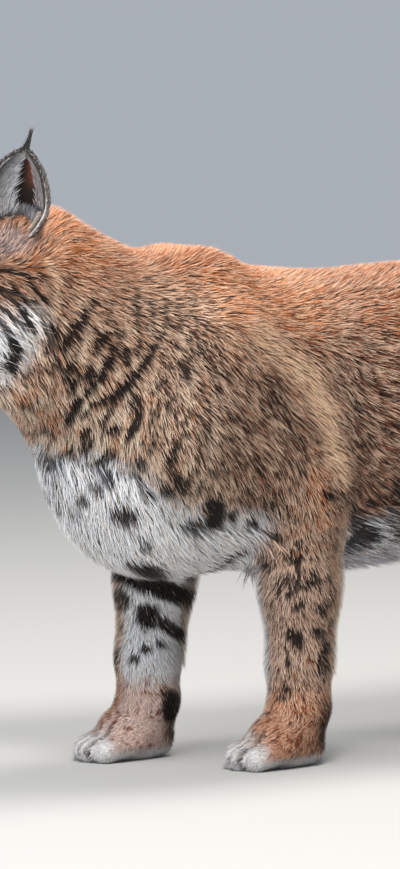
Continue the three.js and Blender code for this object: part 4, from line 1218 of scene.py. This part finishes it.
def coat_style(p):
    """The name of the coat's style at each point, as an index into COATS."""
    number = {name: n for n, name in enumerate(COATS)}
    x, y, z = p.T
    h = to_head(p)
    style = np.full(len(p), number["trunk"])
    style[x < -165] = number["neck"]
    middle = np.abs(y) < 78
    style[middle & (z < 300 - 0.3 * (x + 230)) & (x < -40)] = number["fringe"]
    under = (x >= -40) & (x < 280) & ((x < 150) | (np.abs(y) < 34))
    style[middle & (z < 245) & under] = number["belly"]
    style[(x > 366) & (tail(p) < 4)] = number["tail"]
    leg = legness(p) > 0.5
    style[leg] = number["leg"]
    forward, out = limb_place(p)
    axis = (z - 95) / 163 * np.where(y < 0, FORE_FOOT["left"] - ELBOW["left"], 0)
    rear = (forward + axis < -19) & (x < 110) & (z > 100)
    style[leg & rear] = number["feather"]
    style[leg & (z < 58)] = number["paw"]
    head = headness(p) > 0.5
    style[head] = number["head"]
    style[head & (h[:, 0] < -38)] = number["face"]
    low = (h[:, 0] > -38) & (h[:, 2] < 4)
    style[head & low] = number["cheek"]
    edge = (h[:, 2] < -26 - 0.6 * h[:, 0]) & (np.abs(h[:, 1]) > 12)
    style[head & low & edge] = number["ruff"]
    return style


def region(p):
    """Which piece of coat each point belongs to, as a name."""
    x, y, z = p.T
    side = np.where(y < 0, "left", "right")
    name = np.char.add(np.where(x < 105, "shoulder_", "flank_"), side)
    name = np.where(z < 262, "belly", name)
    name = np.where((x < -125) & (z < 300), "chest", name)
    name = np.where((x < -165) & (z >= 300), np.char.add("neck_", side), name)
    name = np.where((x > 366) & (tail(p) < 4), "tail", name)
    leg = legness(p) > 0.5
    name = np.where(leg, np.char.add(np.where(x > 110, "hindleg_", "foreleg_"), side), name)
    head = headness(p) > 0.5
    name = np.where(head, np.char.add("head_", side), name)
    return name


def unwrap_of(p, name):
    """A place in the unit square for each point, round and along its part of the body."""
    low, high = p.min(0), p.max(0)
    centre = (low + high) / 2
    if name.startswith(("foreleg", "hindleg", "tail", "chest")):
        round_part = np.arctan2(p[:, 1] - centre[1], p[:, 0] - centre[0])
        length = p[:, 2]
    elif name.startswith("head"):
        round_part = np.arctan2(p[:, 2] - centre[2], np.abs(p[:, 1]) + 8)
        length = p[:, 0]
    else:
        round_part = np.arctan2(p[:, 2] - 330, p[:, 1] + (0.01 if name == "belly" else 0))
        length = p[:, 0]
    places = np.stack((round_part, length), 1)
    low, high = places.min(0), places.max(0)
    return 0.01 + 0.98 * (places - low) / np.maximum(high - low, 1e-6)


def make_coat():
    names = list(COATS)
    sizes = np.array(list(COATS.values()))

    def density(p):
        return 1 / sizes[coat_style(p), 0] ** 2

    roots = spread_roots(density)
    keep = off_hard_parts(roots)
    roots = roots[keep]
    normal = unit(slope(body, roots, 3))
    style, piece = coat_style(roots), region(roots)
    count = len(roots)
    size = sizes[style]
    way = unit(lie(roots, normal))
    swirl = np.stack([noise(roots, 34, 20 + n) for n in range(3)], 1)
    clump = np.stack([noise(roots, 7, 30 + n) for n in range(3)], 1)
    jitter = random.normal(size=(count, 3))
    way = unit(way + 0.2 * swirl + 0.26 * clump + 0.14 * jitter)
    long = size[:, 1] * (1 + 0.22 * random.normal(size=count)).clip(0.55, 1.5)
    long *= near_openings(roots) * (0.3 + 0.7 * ramp(roots[:, 2], 0, 16))
    wide = size[:, 2] * (1 + 0.2 * random.normal(size=count)).clip(0.6, 1.5)
    lift = size[:, 3] + 0.9 * random.normal(size=count).clip(-2, 2) * (size[:, 1] / 24)
    lift *= np.where(style == names.index("belly"), ramp(np.abs(roots[:, 1]), 80, 50), 1)
    fur, paw_fur = fur_material("fur"), fur_material("paw_fur")
    for name in np.unique(piece):
        for bends in (0, 1, 2):
            mine = np.nonzero((piece == name) & (size[:, 4] == bends))[0]
            if len(mine) < 50:
                continue
            stations, sides, normals = grow_tufts(
                roots[mine], way[mine], long[mine], wide[mine], lift[mine], bends
            )
            on_paw = names[style[mine[0]]] == "paw"
            tuft_piece(
                f"coat_{name}_{('short', 'lying', 'long')[bends]}",
                stations,
                sides,
                normals,
                wide[mine],
                tuft_colours(stations),
                unwrap_of(roots[mine], name),
                paw_fur if on_paw else fur,
            )
            print(name, bends, len(mine), "tufts")


def near_openings(p):
    """How long hair is near the eyes and the nose, beside the rest."""
    h = to_head(p)
    share = 0.45 + 0.55 * ramp(np.linalg.norm((h - NOSE) / (10.5, 14, 10), axis=1), 1.0, 2.2)
    for _, s in SIDES:
        e = to_eye(h, s)
        share = np.minimum(share, 0.4 + 0.6 * ramp(almond(e) + 2 * np.maximum(e[:, 0], 0), 1, 9))
    share = np.minimum(share, 0.35 + 0.65 * ramp(mouth_line(h), 0.5, 6))
    return np.where(headness(p) > 0, share, 1)


def off_hard_parts(p):
    """Which roots are clear of the nose, the eyes' openings and the mouth."""
    h = to_head(p)
    keep = np.ones(len(p), bool)
    near = headness(p) > 0
    keep &= ~(near & (np.linalg.norm((h - NOSE) / (10.5, 14, 10), axis=1) < 1))
    keep &= ~(near & (mouth_line(h) < 0.8))
    for _, s in SIDES:
        e = to_eye(h, s)
        keep &= ~(near & (almond(e) < 1.0) & (e[:, 0] < 2) & (np.abs(e[:, 1]) < 16))
    return keep


# Eyes, nose and whiskers


def make_eye(name, s):
    """A ball with a bulging cornea, amber iris and round pupil."""
    rings, turns = 60, 96
    tilt = np.linspace(0, math.pi, rings + 1)[1:-1]
    turn = np.arange(turns) * 2 * math.pi / turns
    tilt_grid, turn_grid = [a.ravel() for a in np.meshgrid(tilt, turn, indexing="ij")]
    radius = EYE_RADIUS + 0.9 * ramp(tilt_grid, 0.95, 0.2)
    ring = np.sin(tilt_grid) * radius
    points = np.c_[-np.cos(tilt_grid) * radius, np.cos(turn_grid) * ring, np.sin(turn_grid) * ring]
    front, rear = (-EYE_RADIUS - 0.9, 0, 0), (EYE_RADIUS, 0, 0)
    points = np.vstack((points, front, rear))
    tilt_all = np.append(tilt_grid, (0, math.pi))
    turn_all = np.append(turn_grid, (0, 0))
    faces = []
    for i in range(rings - 2):
        a = i * turns + np.arange(turns)
        b = i * turns + (np.arange(turns) + 1) % turns
        faces.append(np.stack((a, a + turns, b + turns), 1))
        faces.append(np.stack((a, b + turns, b), 1))
    first = np.arange(turns)
    last = (rings - 2) * turns + first
    following = (first + 1) % turns
    faces.append(np.stack((np.full(turns, len(points) - 2), first, following), 1))
    final = np.full(turns, len(points) - 1)
    faces.append(np.stack((last, final, (rings - 2) * turns + following), 1))
    fibres = noise(np.c_[11 * np.cos(turn_all), 11 * np.sin(turn_all), 3 * tilt_all], 1.0, 50)
    iris = mix(linear(IRIS_LIGHT), linear(IRIS_DEEP), ramp(tilt_all, 0.42, 0.8))
    iris = iris * (1 + 0.4 * fibres)[:, None]
    iris = mix(iris, np.broadcast_to(linear(IRIS_RIM), iris.shape), ramp(tilt_all, 0.8, 0.9))
    colour = mix(np.broadcast_to(linear(PUPIL), iris.shape), iris, ramp(tilt_all, 0.34, 0.38))
    points = points @ eye_turn(s).T + EYE * (1, s, 1)
    material = eye_material()
    eye = make_piece(
        "eyeball_" + name, from_head(points), np.concatenate(faces), material, colours=colour
    )
    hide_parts("eye_" + name)


def eye_material():
    material, tree, shader = new_material("wet_eye", 0.3, 0.05)
    tree.links.new(painted_colour(tree), shader.inputs["Base Color"])
    shader.inputs["Coat Weight"].default_value = 0.25
    shader.inputs["Coat Roughness"].default_value = 0.03
    return material


def tube(path, radii, sides, closed=False):
    """Points and faces of a round tube along a path."""
    path = np.asarray(path, float)
    count = len(path)
    if closed:
        way = np.roll(path, -1, 0) - np.roll(path, 1, 0)
    else:
        way = np.gradient(path, axis=0)
    way = unit(way)
    side = unit(np.cross(way, (0.13, 0.29, 0.95)))
    up = np.cross(side, way)
    angle = np.arange(sides) * 2 * math.pi / sides
    ring = np.cos(angle)[None, :, None] * side[:, None] + np.sin(angle)[None, :, None] * up[:, None]
    points = path[:, None] + ring * np.broadcast_to(radii, count)[:, None, None]
    faces = []
    for i in range(count if closed else count - 1):
        for j in range(sides):
            a, b = i * sides + j, i * sides + (j + 1) % sides
            c, d = (i + 1) % count * sides + (j + 1) % sides, (i + 1) % count * sides + j
            faces += [(a, b, c), (a, c, d)]
    if not closed:
        for j in range(1, sides - 1):
            faces.append((0, j + 1, j))
            end = (count - 1) * sides
            faces.append((end, end + j, end + j + 1))
    return points.reshape(-1, 3), np.array(faces)


def join(parts):
    points, faces, start = [], [], 0
    for part_points, part_faces in parts:
        points.append(part_points)
        faces.append(part_faces + start)
        start += len(part_points)
    return np.concatenate(points), np.concatenate(faces)


def make_lid_rims():
    """Dark wet rims round the openings of the lids."""
    material = painted_material("lid_rim", 0.45, 0.3, (700, 0.6, 1.4, 2), (0.0003, 0.4))
    radius = (LID_WIDE**2 + LID_TALL**2) / (4 * LID_TALL)
    for name, s in SIDES:
        half = LID_WIDE / 2
        share = np.concatenate((np.linspace(-1, 1, 30)[:-1], np.linspace(1, -1, 30)[:-1]))
        upper = np.repeat((1, -1), 29)
        y = half * np.sin(share * math.pi / 2)
        z = upper * (np.sqrt(radius**2 - y**2) - (radius - LID_TALL / 2)) - LID_DROP
        reach = EYE_RADIUS + 0.8
        x = -np.sqrt(np.maximum(reach**2 - y**2 - z**2, 1))
        path = np.c_[x, y, z] @ eye_turn(s).T + EYE * (1, s, 1)
        points, faces = tube(path, 0.6, 8, closed=True)
        colours = np.tile(linear(LID), (len(points), 1))
        make_piece(
            "lid_rim_" + name, from_head(points), faces, material, colours=colours
        )


def make_nose():
    """The nose pad with its nostrils and middle groove."""

    def field(p):
        q = p - np.float32(NOSE)
        mirrored = np.c_[q[:, 0], np.abs(q[:, 1]), q[:, 2]]
        pad = smooth_union(
            ellipsoid((0, 0, 2.2), (9, 12.6, 6.6))(q), ellipsoid((0, 0, -4), (8.6, 6.5, 6.4))(q), 5
        )
        wings = ellipsoid((-1.5, 8.6, 0), (7, 4.6, 5.6))(mirrored)
        pad = smooth_union(pad, wings, 2.5)
        nostril = cone((-9.5, 5.2, -1.6), 2.2, (-4, 7, 0), 1.8)(mirrored)
        slit = cone((-8, 7.5, -1.8), 1.1, (-3, 12.5, -2.6), 0.7)(mirrored)
        pad = smooth_cut(pad, nostril, 1.2)
        pad = smooth_cut(pad, slit, 0.8)
        groove = cone((-10.5, 0, -1), 0.7, (-8, 0, -12), 0.7)(q)
        return smooth_cut(pad, groove, 1.0)

    axes = [
        axis_places((NOSE[n] - reach, NOSE[n] + reach, 0.75)) for n, reach in enumerate((12, 16, 14))
    ]
    points, faces = surface(field, axes, on_grid(field, axes).reshape([len(a) for a in axes]))
    material = painted_material("nose_skin", 0.38, 0.5, (1400, 0.8, 1.2, 2), (0.0005, 0.7))
    edge = ramp(np.abs(points[:, 1]), 8, 12.5) + ramp(points[:, 2], NOSE[2] + 5, NOSE[2] + 8)
    deep = ramp(points[:, 0], NOSE[0] - 7.5, NOSE[0] - 4.5) * (points[:, 2] < NOSE[2] + 4)
    share = np.clip(edge + deep, 0, 1)
    colours = mix(
        np.broadcast_to(linear(NOSE_SKIN), points.shape),
        np.broadcast_to(linear(NOSE_EDGE), points.shape),
        share,
    )
    nose = make_piece("nose_pad", from_head(points), faces, material, colours=colours)
    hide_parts("nose")


def make_whiskers():
    """Long pale whiskers in rows on the upper lip, and a few over the eyes."""
    parts = []
    for _, s in SIDES:
        for row in range(4):
            for n in range(4):
                start = np.array((-96 + 7 * n, s * (24 + 4.2 * n), -31 - 5 * row))
                long = 50 + 13 * n + 6 * random.random()
                way = unit(np.array((0.35 + 0.25 * n, s * 0.8, 0.22 - 0.26 * row)))
                parts.append(hair(start, way, long, 0.3, np.array((0.7, -0.1 * s, -0.5))))
        for n in range(3):
            start = np.array((-58, s * (20 + 4 * n), 26))
            way = unit(np.array((0.1, s * (0.25 + 0.2 * n), 1.0)))
            parts.append(hair(start, way, 30, 0.22, np.array((0.9, 0, 0.1))))
    points, faces = join(parts)
    material = painted_material("whisker", 0.35, 0.4, (300, 0.8, 1.1, 2))
    colours = np.tile(linear(WHISKER), (len(points), 1))
    make_piece("whiskers", from_head(points), faces, material, colours=colours)


def hair(start, way, long, radius, bend, steps=8, sides=4):
    share = np.linspace(0, 1, steps)[:, None]
    path = start + way * long * share + bend * long * 0.35 * share**2
    return tube(path, radius * (1 - 0.88 * share[:, 0]), sides)


# Ears


def ear_turn(s):
    return np.array(
        Matrix.Rotation(-s * EAR_LEAN, 3, "X") @ Matrix.Rotation(-s * EAR_OPEN, 3, "Z")
    )


def ear_point(u, v, inner):
    """A point of an ear's surface in its own frame: u across from -1 to 1, v up from 0 to 1."""
    widest, base = 0.4, 0.62
    low = base + (1 - base) * np.sin(math.pi / 2 * np.minimum(v / widest, 1))
    high = (1 - np.clip((v - widest) / (1 - widest), 0, 1) ** 1.7) ** 0.62
    half = np.maximum(EAR_WIDE / 2 * np.where(v < widest, low, high), EAR_THICK / 3)
    thick = inner * EAR_THICK * (1 - 0.5 * v)
    deep = 5 + EAR_DEEP * (1 - v) ** 0.8
    angle = u * math.pi / 2
    x = np.cos(angle) * (deep - thick) + 8 * v * v
    y = np.sin(angle) * np.maximum(half - thick, EAR_THICK / 8)
    return np.stack((x, y, EAR_TALL * v * (1 - 0.03 * inner)), -1)


def ear_to_body(p, s):
    return from_head(p @ ear_turn(s).T + EAR_PLACE * (1, s, 1))


def make_ear(name, s):
    count = 36
    u, v = np.meshgrid(np.linspace(-1, 1, count), np.sin(math.pi / 2 * np.linspace(0, 1, count)))
    outer, inner = [ear_point(u, v, layer).reshape(-1, 3) for layer in (0.25, 0.9)]
    points = np.vstack((outer, inner))
    at = np.arange(count * count).reshape(count, count)
    quads = []

    def quad(a, b, c, d):
        quads.append(np.stack((a.ravel(), b.ravel(), c.ravel(), d.ravel()), 1))

    quad(at[:-1, :-1], at[:-1, 1:], at[1:, 1:], at[1:, :-1])
    back_side = at + count * count
    quad(back_side[:-1, :-1], back_side[1:, :-1], back_side[1:, 1:], back_side[:-1, 1:])
    for edge, flip in ((at[0], False), (at[-1], True), (at[:, 0], True), (at[:, -1], False)):
        a, b = edge[:-1], edge[1:]
        c, d = b + count * count, a + count * count
        quad(*((a, b, c, d) if flip else (b, a, d, c)))
    rows = np.r_[v.ravel(), v.ravel()]
    cols = np.r_[u.ravel(), u.ravel()]
    is_inner = np.r_[np.zeros(count * count), np.ones(count * count)]
    colours = np.broadcast_to(linear(EAR_SKIN), points.shape)
    pink = linear(EAR_BARE)
    high = ramp(rows, 0.45, 0.7) * ramp(np.abs(cols), 0.98, 0.7) * ramp(s * cols, -0.1, 0.35)
    colours = mix(colours, np.broadcast_to(pink, points.shape), 0.8 * is_inner * high)
    edge = ramp(np.abs(cols), 0.93, 0.99)
    colours = mix(colours, np.broadcast_to(linear(EAR_EDGE), points.shape), edge)
    title = "ear_skin_" + name
    material = painted_material(title, 0.7, 0.2, (500, 0.8, 1.2, 2), (0.0005, 0.5))
    points = ear_to_body(points, s)
    ear = make_piece(title, points, np.concatenate(quads), material, colours=colours)
    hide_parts("ear_" + name)
    make_ear_fur(name, s)


def ear_frame_at(u, v, layer):
    """Place, normal and way up the ear at places of its surface."""
    step = 0.01
    p = ear_point(u, v, layer)
    du = ear_point(u + step, v, layer) - ear_point(u - step, v, layer)
    dv = ear_point(u, np.minimum(v + step, 1), layer) - ear_point(u, v - step, layer)
    normal = unit(np.cross(du, dv))
    if layer > 0.5:
        normal = -normal
    return p, normal, unit(dv)


def make_ear_fur(name, s):
    material = fur_material("ear_fur_" + name)
    kinds = []

    def add(u, v, layer, long, wide, lean, bend, shade, spread, aim=None):
        p, normal, up = ear_frame_at(u, v, layer)
        way = up + normal * lean + bend if aim is None else unit(aim - p)
        way = unit(way + random.normal(size=p.shape) * spread)
        kinds.append((p, normal, way, long, wide, shade))

    def shades(colour, count, low, high):
        return np.tile(linear(colour), (count, 1)) * random.uniform(low, high, (count, 1))

    # outside: black round a pale spot, grey-brown at the base
    count = 2900
    u, v = random.uniform(-1, 1, count), random.random(count) ** 0.9 * 0.97
    spot = ramp(np.hypot(u * 1.1, (v - 0.5) * 1.6), 0.55, 0.3)
    shade = mix(shades(EAR_BLACK, count, 0.6, 1.4), linear(EAR_SPOT), spot)
    shade = mix(shade, linear(EAR_MARGIN), ramp(np.abs(u), 0.8, 0.95))
    shade = mix(shade, linear(GREY_BROWN), ramp(v, 0.3, 0.08))
    long = (7 + 3 * random.random(count)) * (1 - 0.5 * ramp(np.abs(u), 0.7, 0.95) * ramp(v, 0.1, 0.3))
    add(u, v, 0.1, long + 6 * ramp(v, 0.2, 0), 1.6 + 0 * u, 0.25, 0, shade, 0.12)

    # rim: short dense pale hair
    count = 1700
    u = np.sign(random.uniform(-1, 1, count)) * random.uniform(0.9, 1.0, count)
    v = random.random(count) ** 0.9 * 0.99
    out = 0.5 * np.sign(u)[:, None] * np.array((0, 1, 0)) + (-0.35, 0, 0)
    long = 3.5 + 2.5 * random.random(count)
    add(u, v, 0.55, long, 0.9 + 0 * u, 0, out, shades(EAR_RIM, count, 0.5, 1.05), 0.25)

    # inside, from the front edge across the opening
    count = 1700
    u, v = -s * random.uniform(0.3, 1.0, count), 0.04 + 0.84 * random.random(count)
    across = np.stack((-0.9 + 0 * u, 0.95 * -np.sign(u), 0.35 + 0 * u), 1)
    long = (22 + 13 * random.random(count)) * (1 - 0.45 * v)
    add(u, v, 0.92, long, 0.9 + 0 * u, 0.1, across, shades(EAR_WHITE, count, 0.35, 1.25), 0.2)

    # inside, from the rear edge: shorter
    count = 1100
    u, v = s * random.uniform(0.35, 1.0, count), 0.3 + 0.62 * random.random(count)
    across = np.stack((-0.8 + 0 * u, 0.5 * -np.sign(u), 0.6 + 0 * u), 1)
    long = 8 + 5 * random.random(count)
    add(u, v, 0.92, long, 1.0 + 0 * u, 0.1, across, shades(EAR_REAR, count, 0.4, 1.1), 0.16)

    # the small pocket low on the rear edge
    count = 560
    u, v = s * random.uniform(0.78, 1.0, count), 0.06 + 0.24 * random.random(count)
    down = np.stack((-0.5 + 0 * u, 0.5 * -np.sign(u), -0.6 + 0 * u), 1)
    long = 5 + 3 * random.random(count)
    add(u, v, 0.9, long, 1.2 + 0 * u, 0.4, down, shades(CREAM, count, 0.7, 1.1), 0.12)

    # inside at the base
    count = 600
    u, v = random.uniform(-0.7, 0.7, count), 0.02 + 0.1 * random.random(count)
    forward = np.tile((-0.7, 0, 0.6), (count, 1))
    long = 16 + 9 * random.random(count)
    add(u, v, 0.9, long, 1.1 + 0 * u, 0.3, forward, shades(EAR_BASE, count, 0.3, 1.1), 0.2)

    # the black tuft at the tip
    count = 260
    u, v = random.uniform(-1, 1, count), random.uniform(0.982, 0.999, count)
    tip = ear_point(0.0, 1.0, 0.5)
    aim = tip + (9, 2 * s, 27) + random.normal(size=(count, 3)) * 0.9
    long = 14 + 12 * random.random(count)
    add(u, v, 0.5, long, 1.1 + 0 * u, 0, 0, shades(EAR_TUFT, count, 0.7, 1.6), 0.02, aim)

    p, normal, way, long, wide, shade = [np.concatenate(part) for part in zip(*kinds)]
    bend = normal * -0.12
    stations = np.stack(
        [p + (way * share + bend * share**2) * long[:, None] for share in (0, 0.5, 1)], 1
    )
    turn = ear_turn(s)
    stations = from_head(stations @ turn.T + EAR_PLACE * (1, s, 1))
    rotate = (head_turn @ turn).T
    side = unit(np.cross(normal, way)) @ rotate
    normal = normal @ rotate
    count = len(p)
    places = np.stack((0.5 + 0.45 * random.uniform(-1, 1, count), 0.02 + 0.95 * random.random(count)), 1)
    tuft_piece(
        "ear_fur_" + name,
        stations,
        np.repeat(side[:, None], 3, 1),
        np.repeat(normal[:, None], 3, 1),
        wide,
        np.stack((shade, shade, (shade * 1.15).clip(0, 1)), 1),
        places,
        material,
    )


# The studio


def make_studio():
    mesh = bpy.data.meshes.new("floor")
    reach = 12
    corners = [(-reach, -reach, 0), (reach, -reach, 0), (reach, reach, 0), (-reach, reach, 0)]
    mesh.from_pydata(corners, [], [(0, 1, 2, 3)])
    floor = bpy.data.objects.new("floor", mesh)
    bpy.context.scene.collection.objects.link(floor)
    material, _, shader = new_material("floor", 0.9, 0.1)
    shader.inputs["Base Color"].default_value = (0.42, 0.42, 0.415, 1)
    mesh.materials.append(material)
    world = bpy.data.worlds.new("studio")
    world.use_nodes = True
    background = world.node_tree.nodes["Background"]
    background.inputs["Color"].default_value = (0.80, 0.86, 0.95, 1)
    background.inputs["Strength"].default_value = 0.5
    bpy.context.scene.world = world
    middle = Vector(TARGET * MM + frame_shift)
    for name, place, size, power, tint in (
        ("key", (-0.9, -2.0, 3.0), 1.1, 150, (1.0, 0.95, 0.88)),
        ("top", (0.8, 0.3, 3.2), 1.4, 116, (1.0, 0.95, 0.88)),
        ("fill", (-3.0, -1.6, 0.9), 2.0, 90, (0.9, 0.94, 1.0)),
    ):
        lamp = bpy.data.lights.new(name, "AREA")
        lamp.size, lamp.energy, lamp.color = size, power, tint
        light = bpy.data.objects.new(name, lamp)
        light.location = middle + Vector(place)
        light.rotation_euler = (-Vector(place)).to_track_quat("-Z", "Y").to_euler()
        bpy.context.scene.collection.objects.link(light)


def make_camera():
    camera = bpy.data.cameras.new("camera")
    camera.sensor_width = 36
    camera.sensor_fit = "AUTO"
    camera.lens = FOCAL_PIXELS / max(PHOTO) * camera.sensor_width
    holder = bpy.data.objects.new("camera", camera)
    holder.location = Vector(eye_point * MM + frame_shift)
    holder.rotation_euler = Vector(-back).to_track_quat("-Z", "Y").to_euler()
    bpy.context.scene.collection.objects.link(holder)
    bpy.context.scene.camera = holder


bpy.context.scene.view_settings.view_transform = "Standard"
make_studio()
make_camera()
make_skin()
make_coat()
for side_name, side_sign in SIDES:
    make_eye(side_name, side_sign)
    make_ear(side_name, side_sign)
make_lid_rims()
make_nose()
make_whiskers()
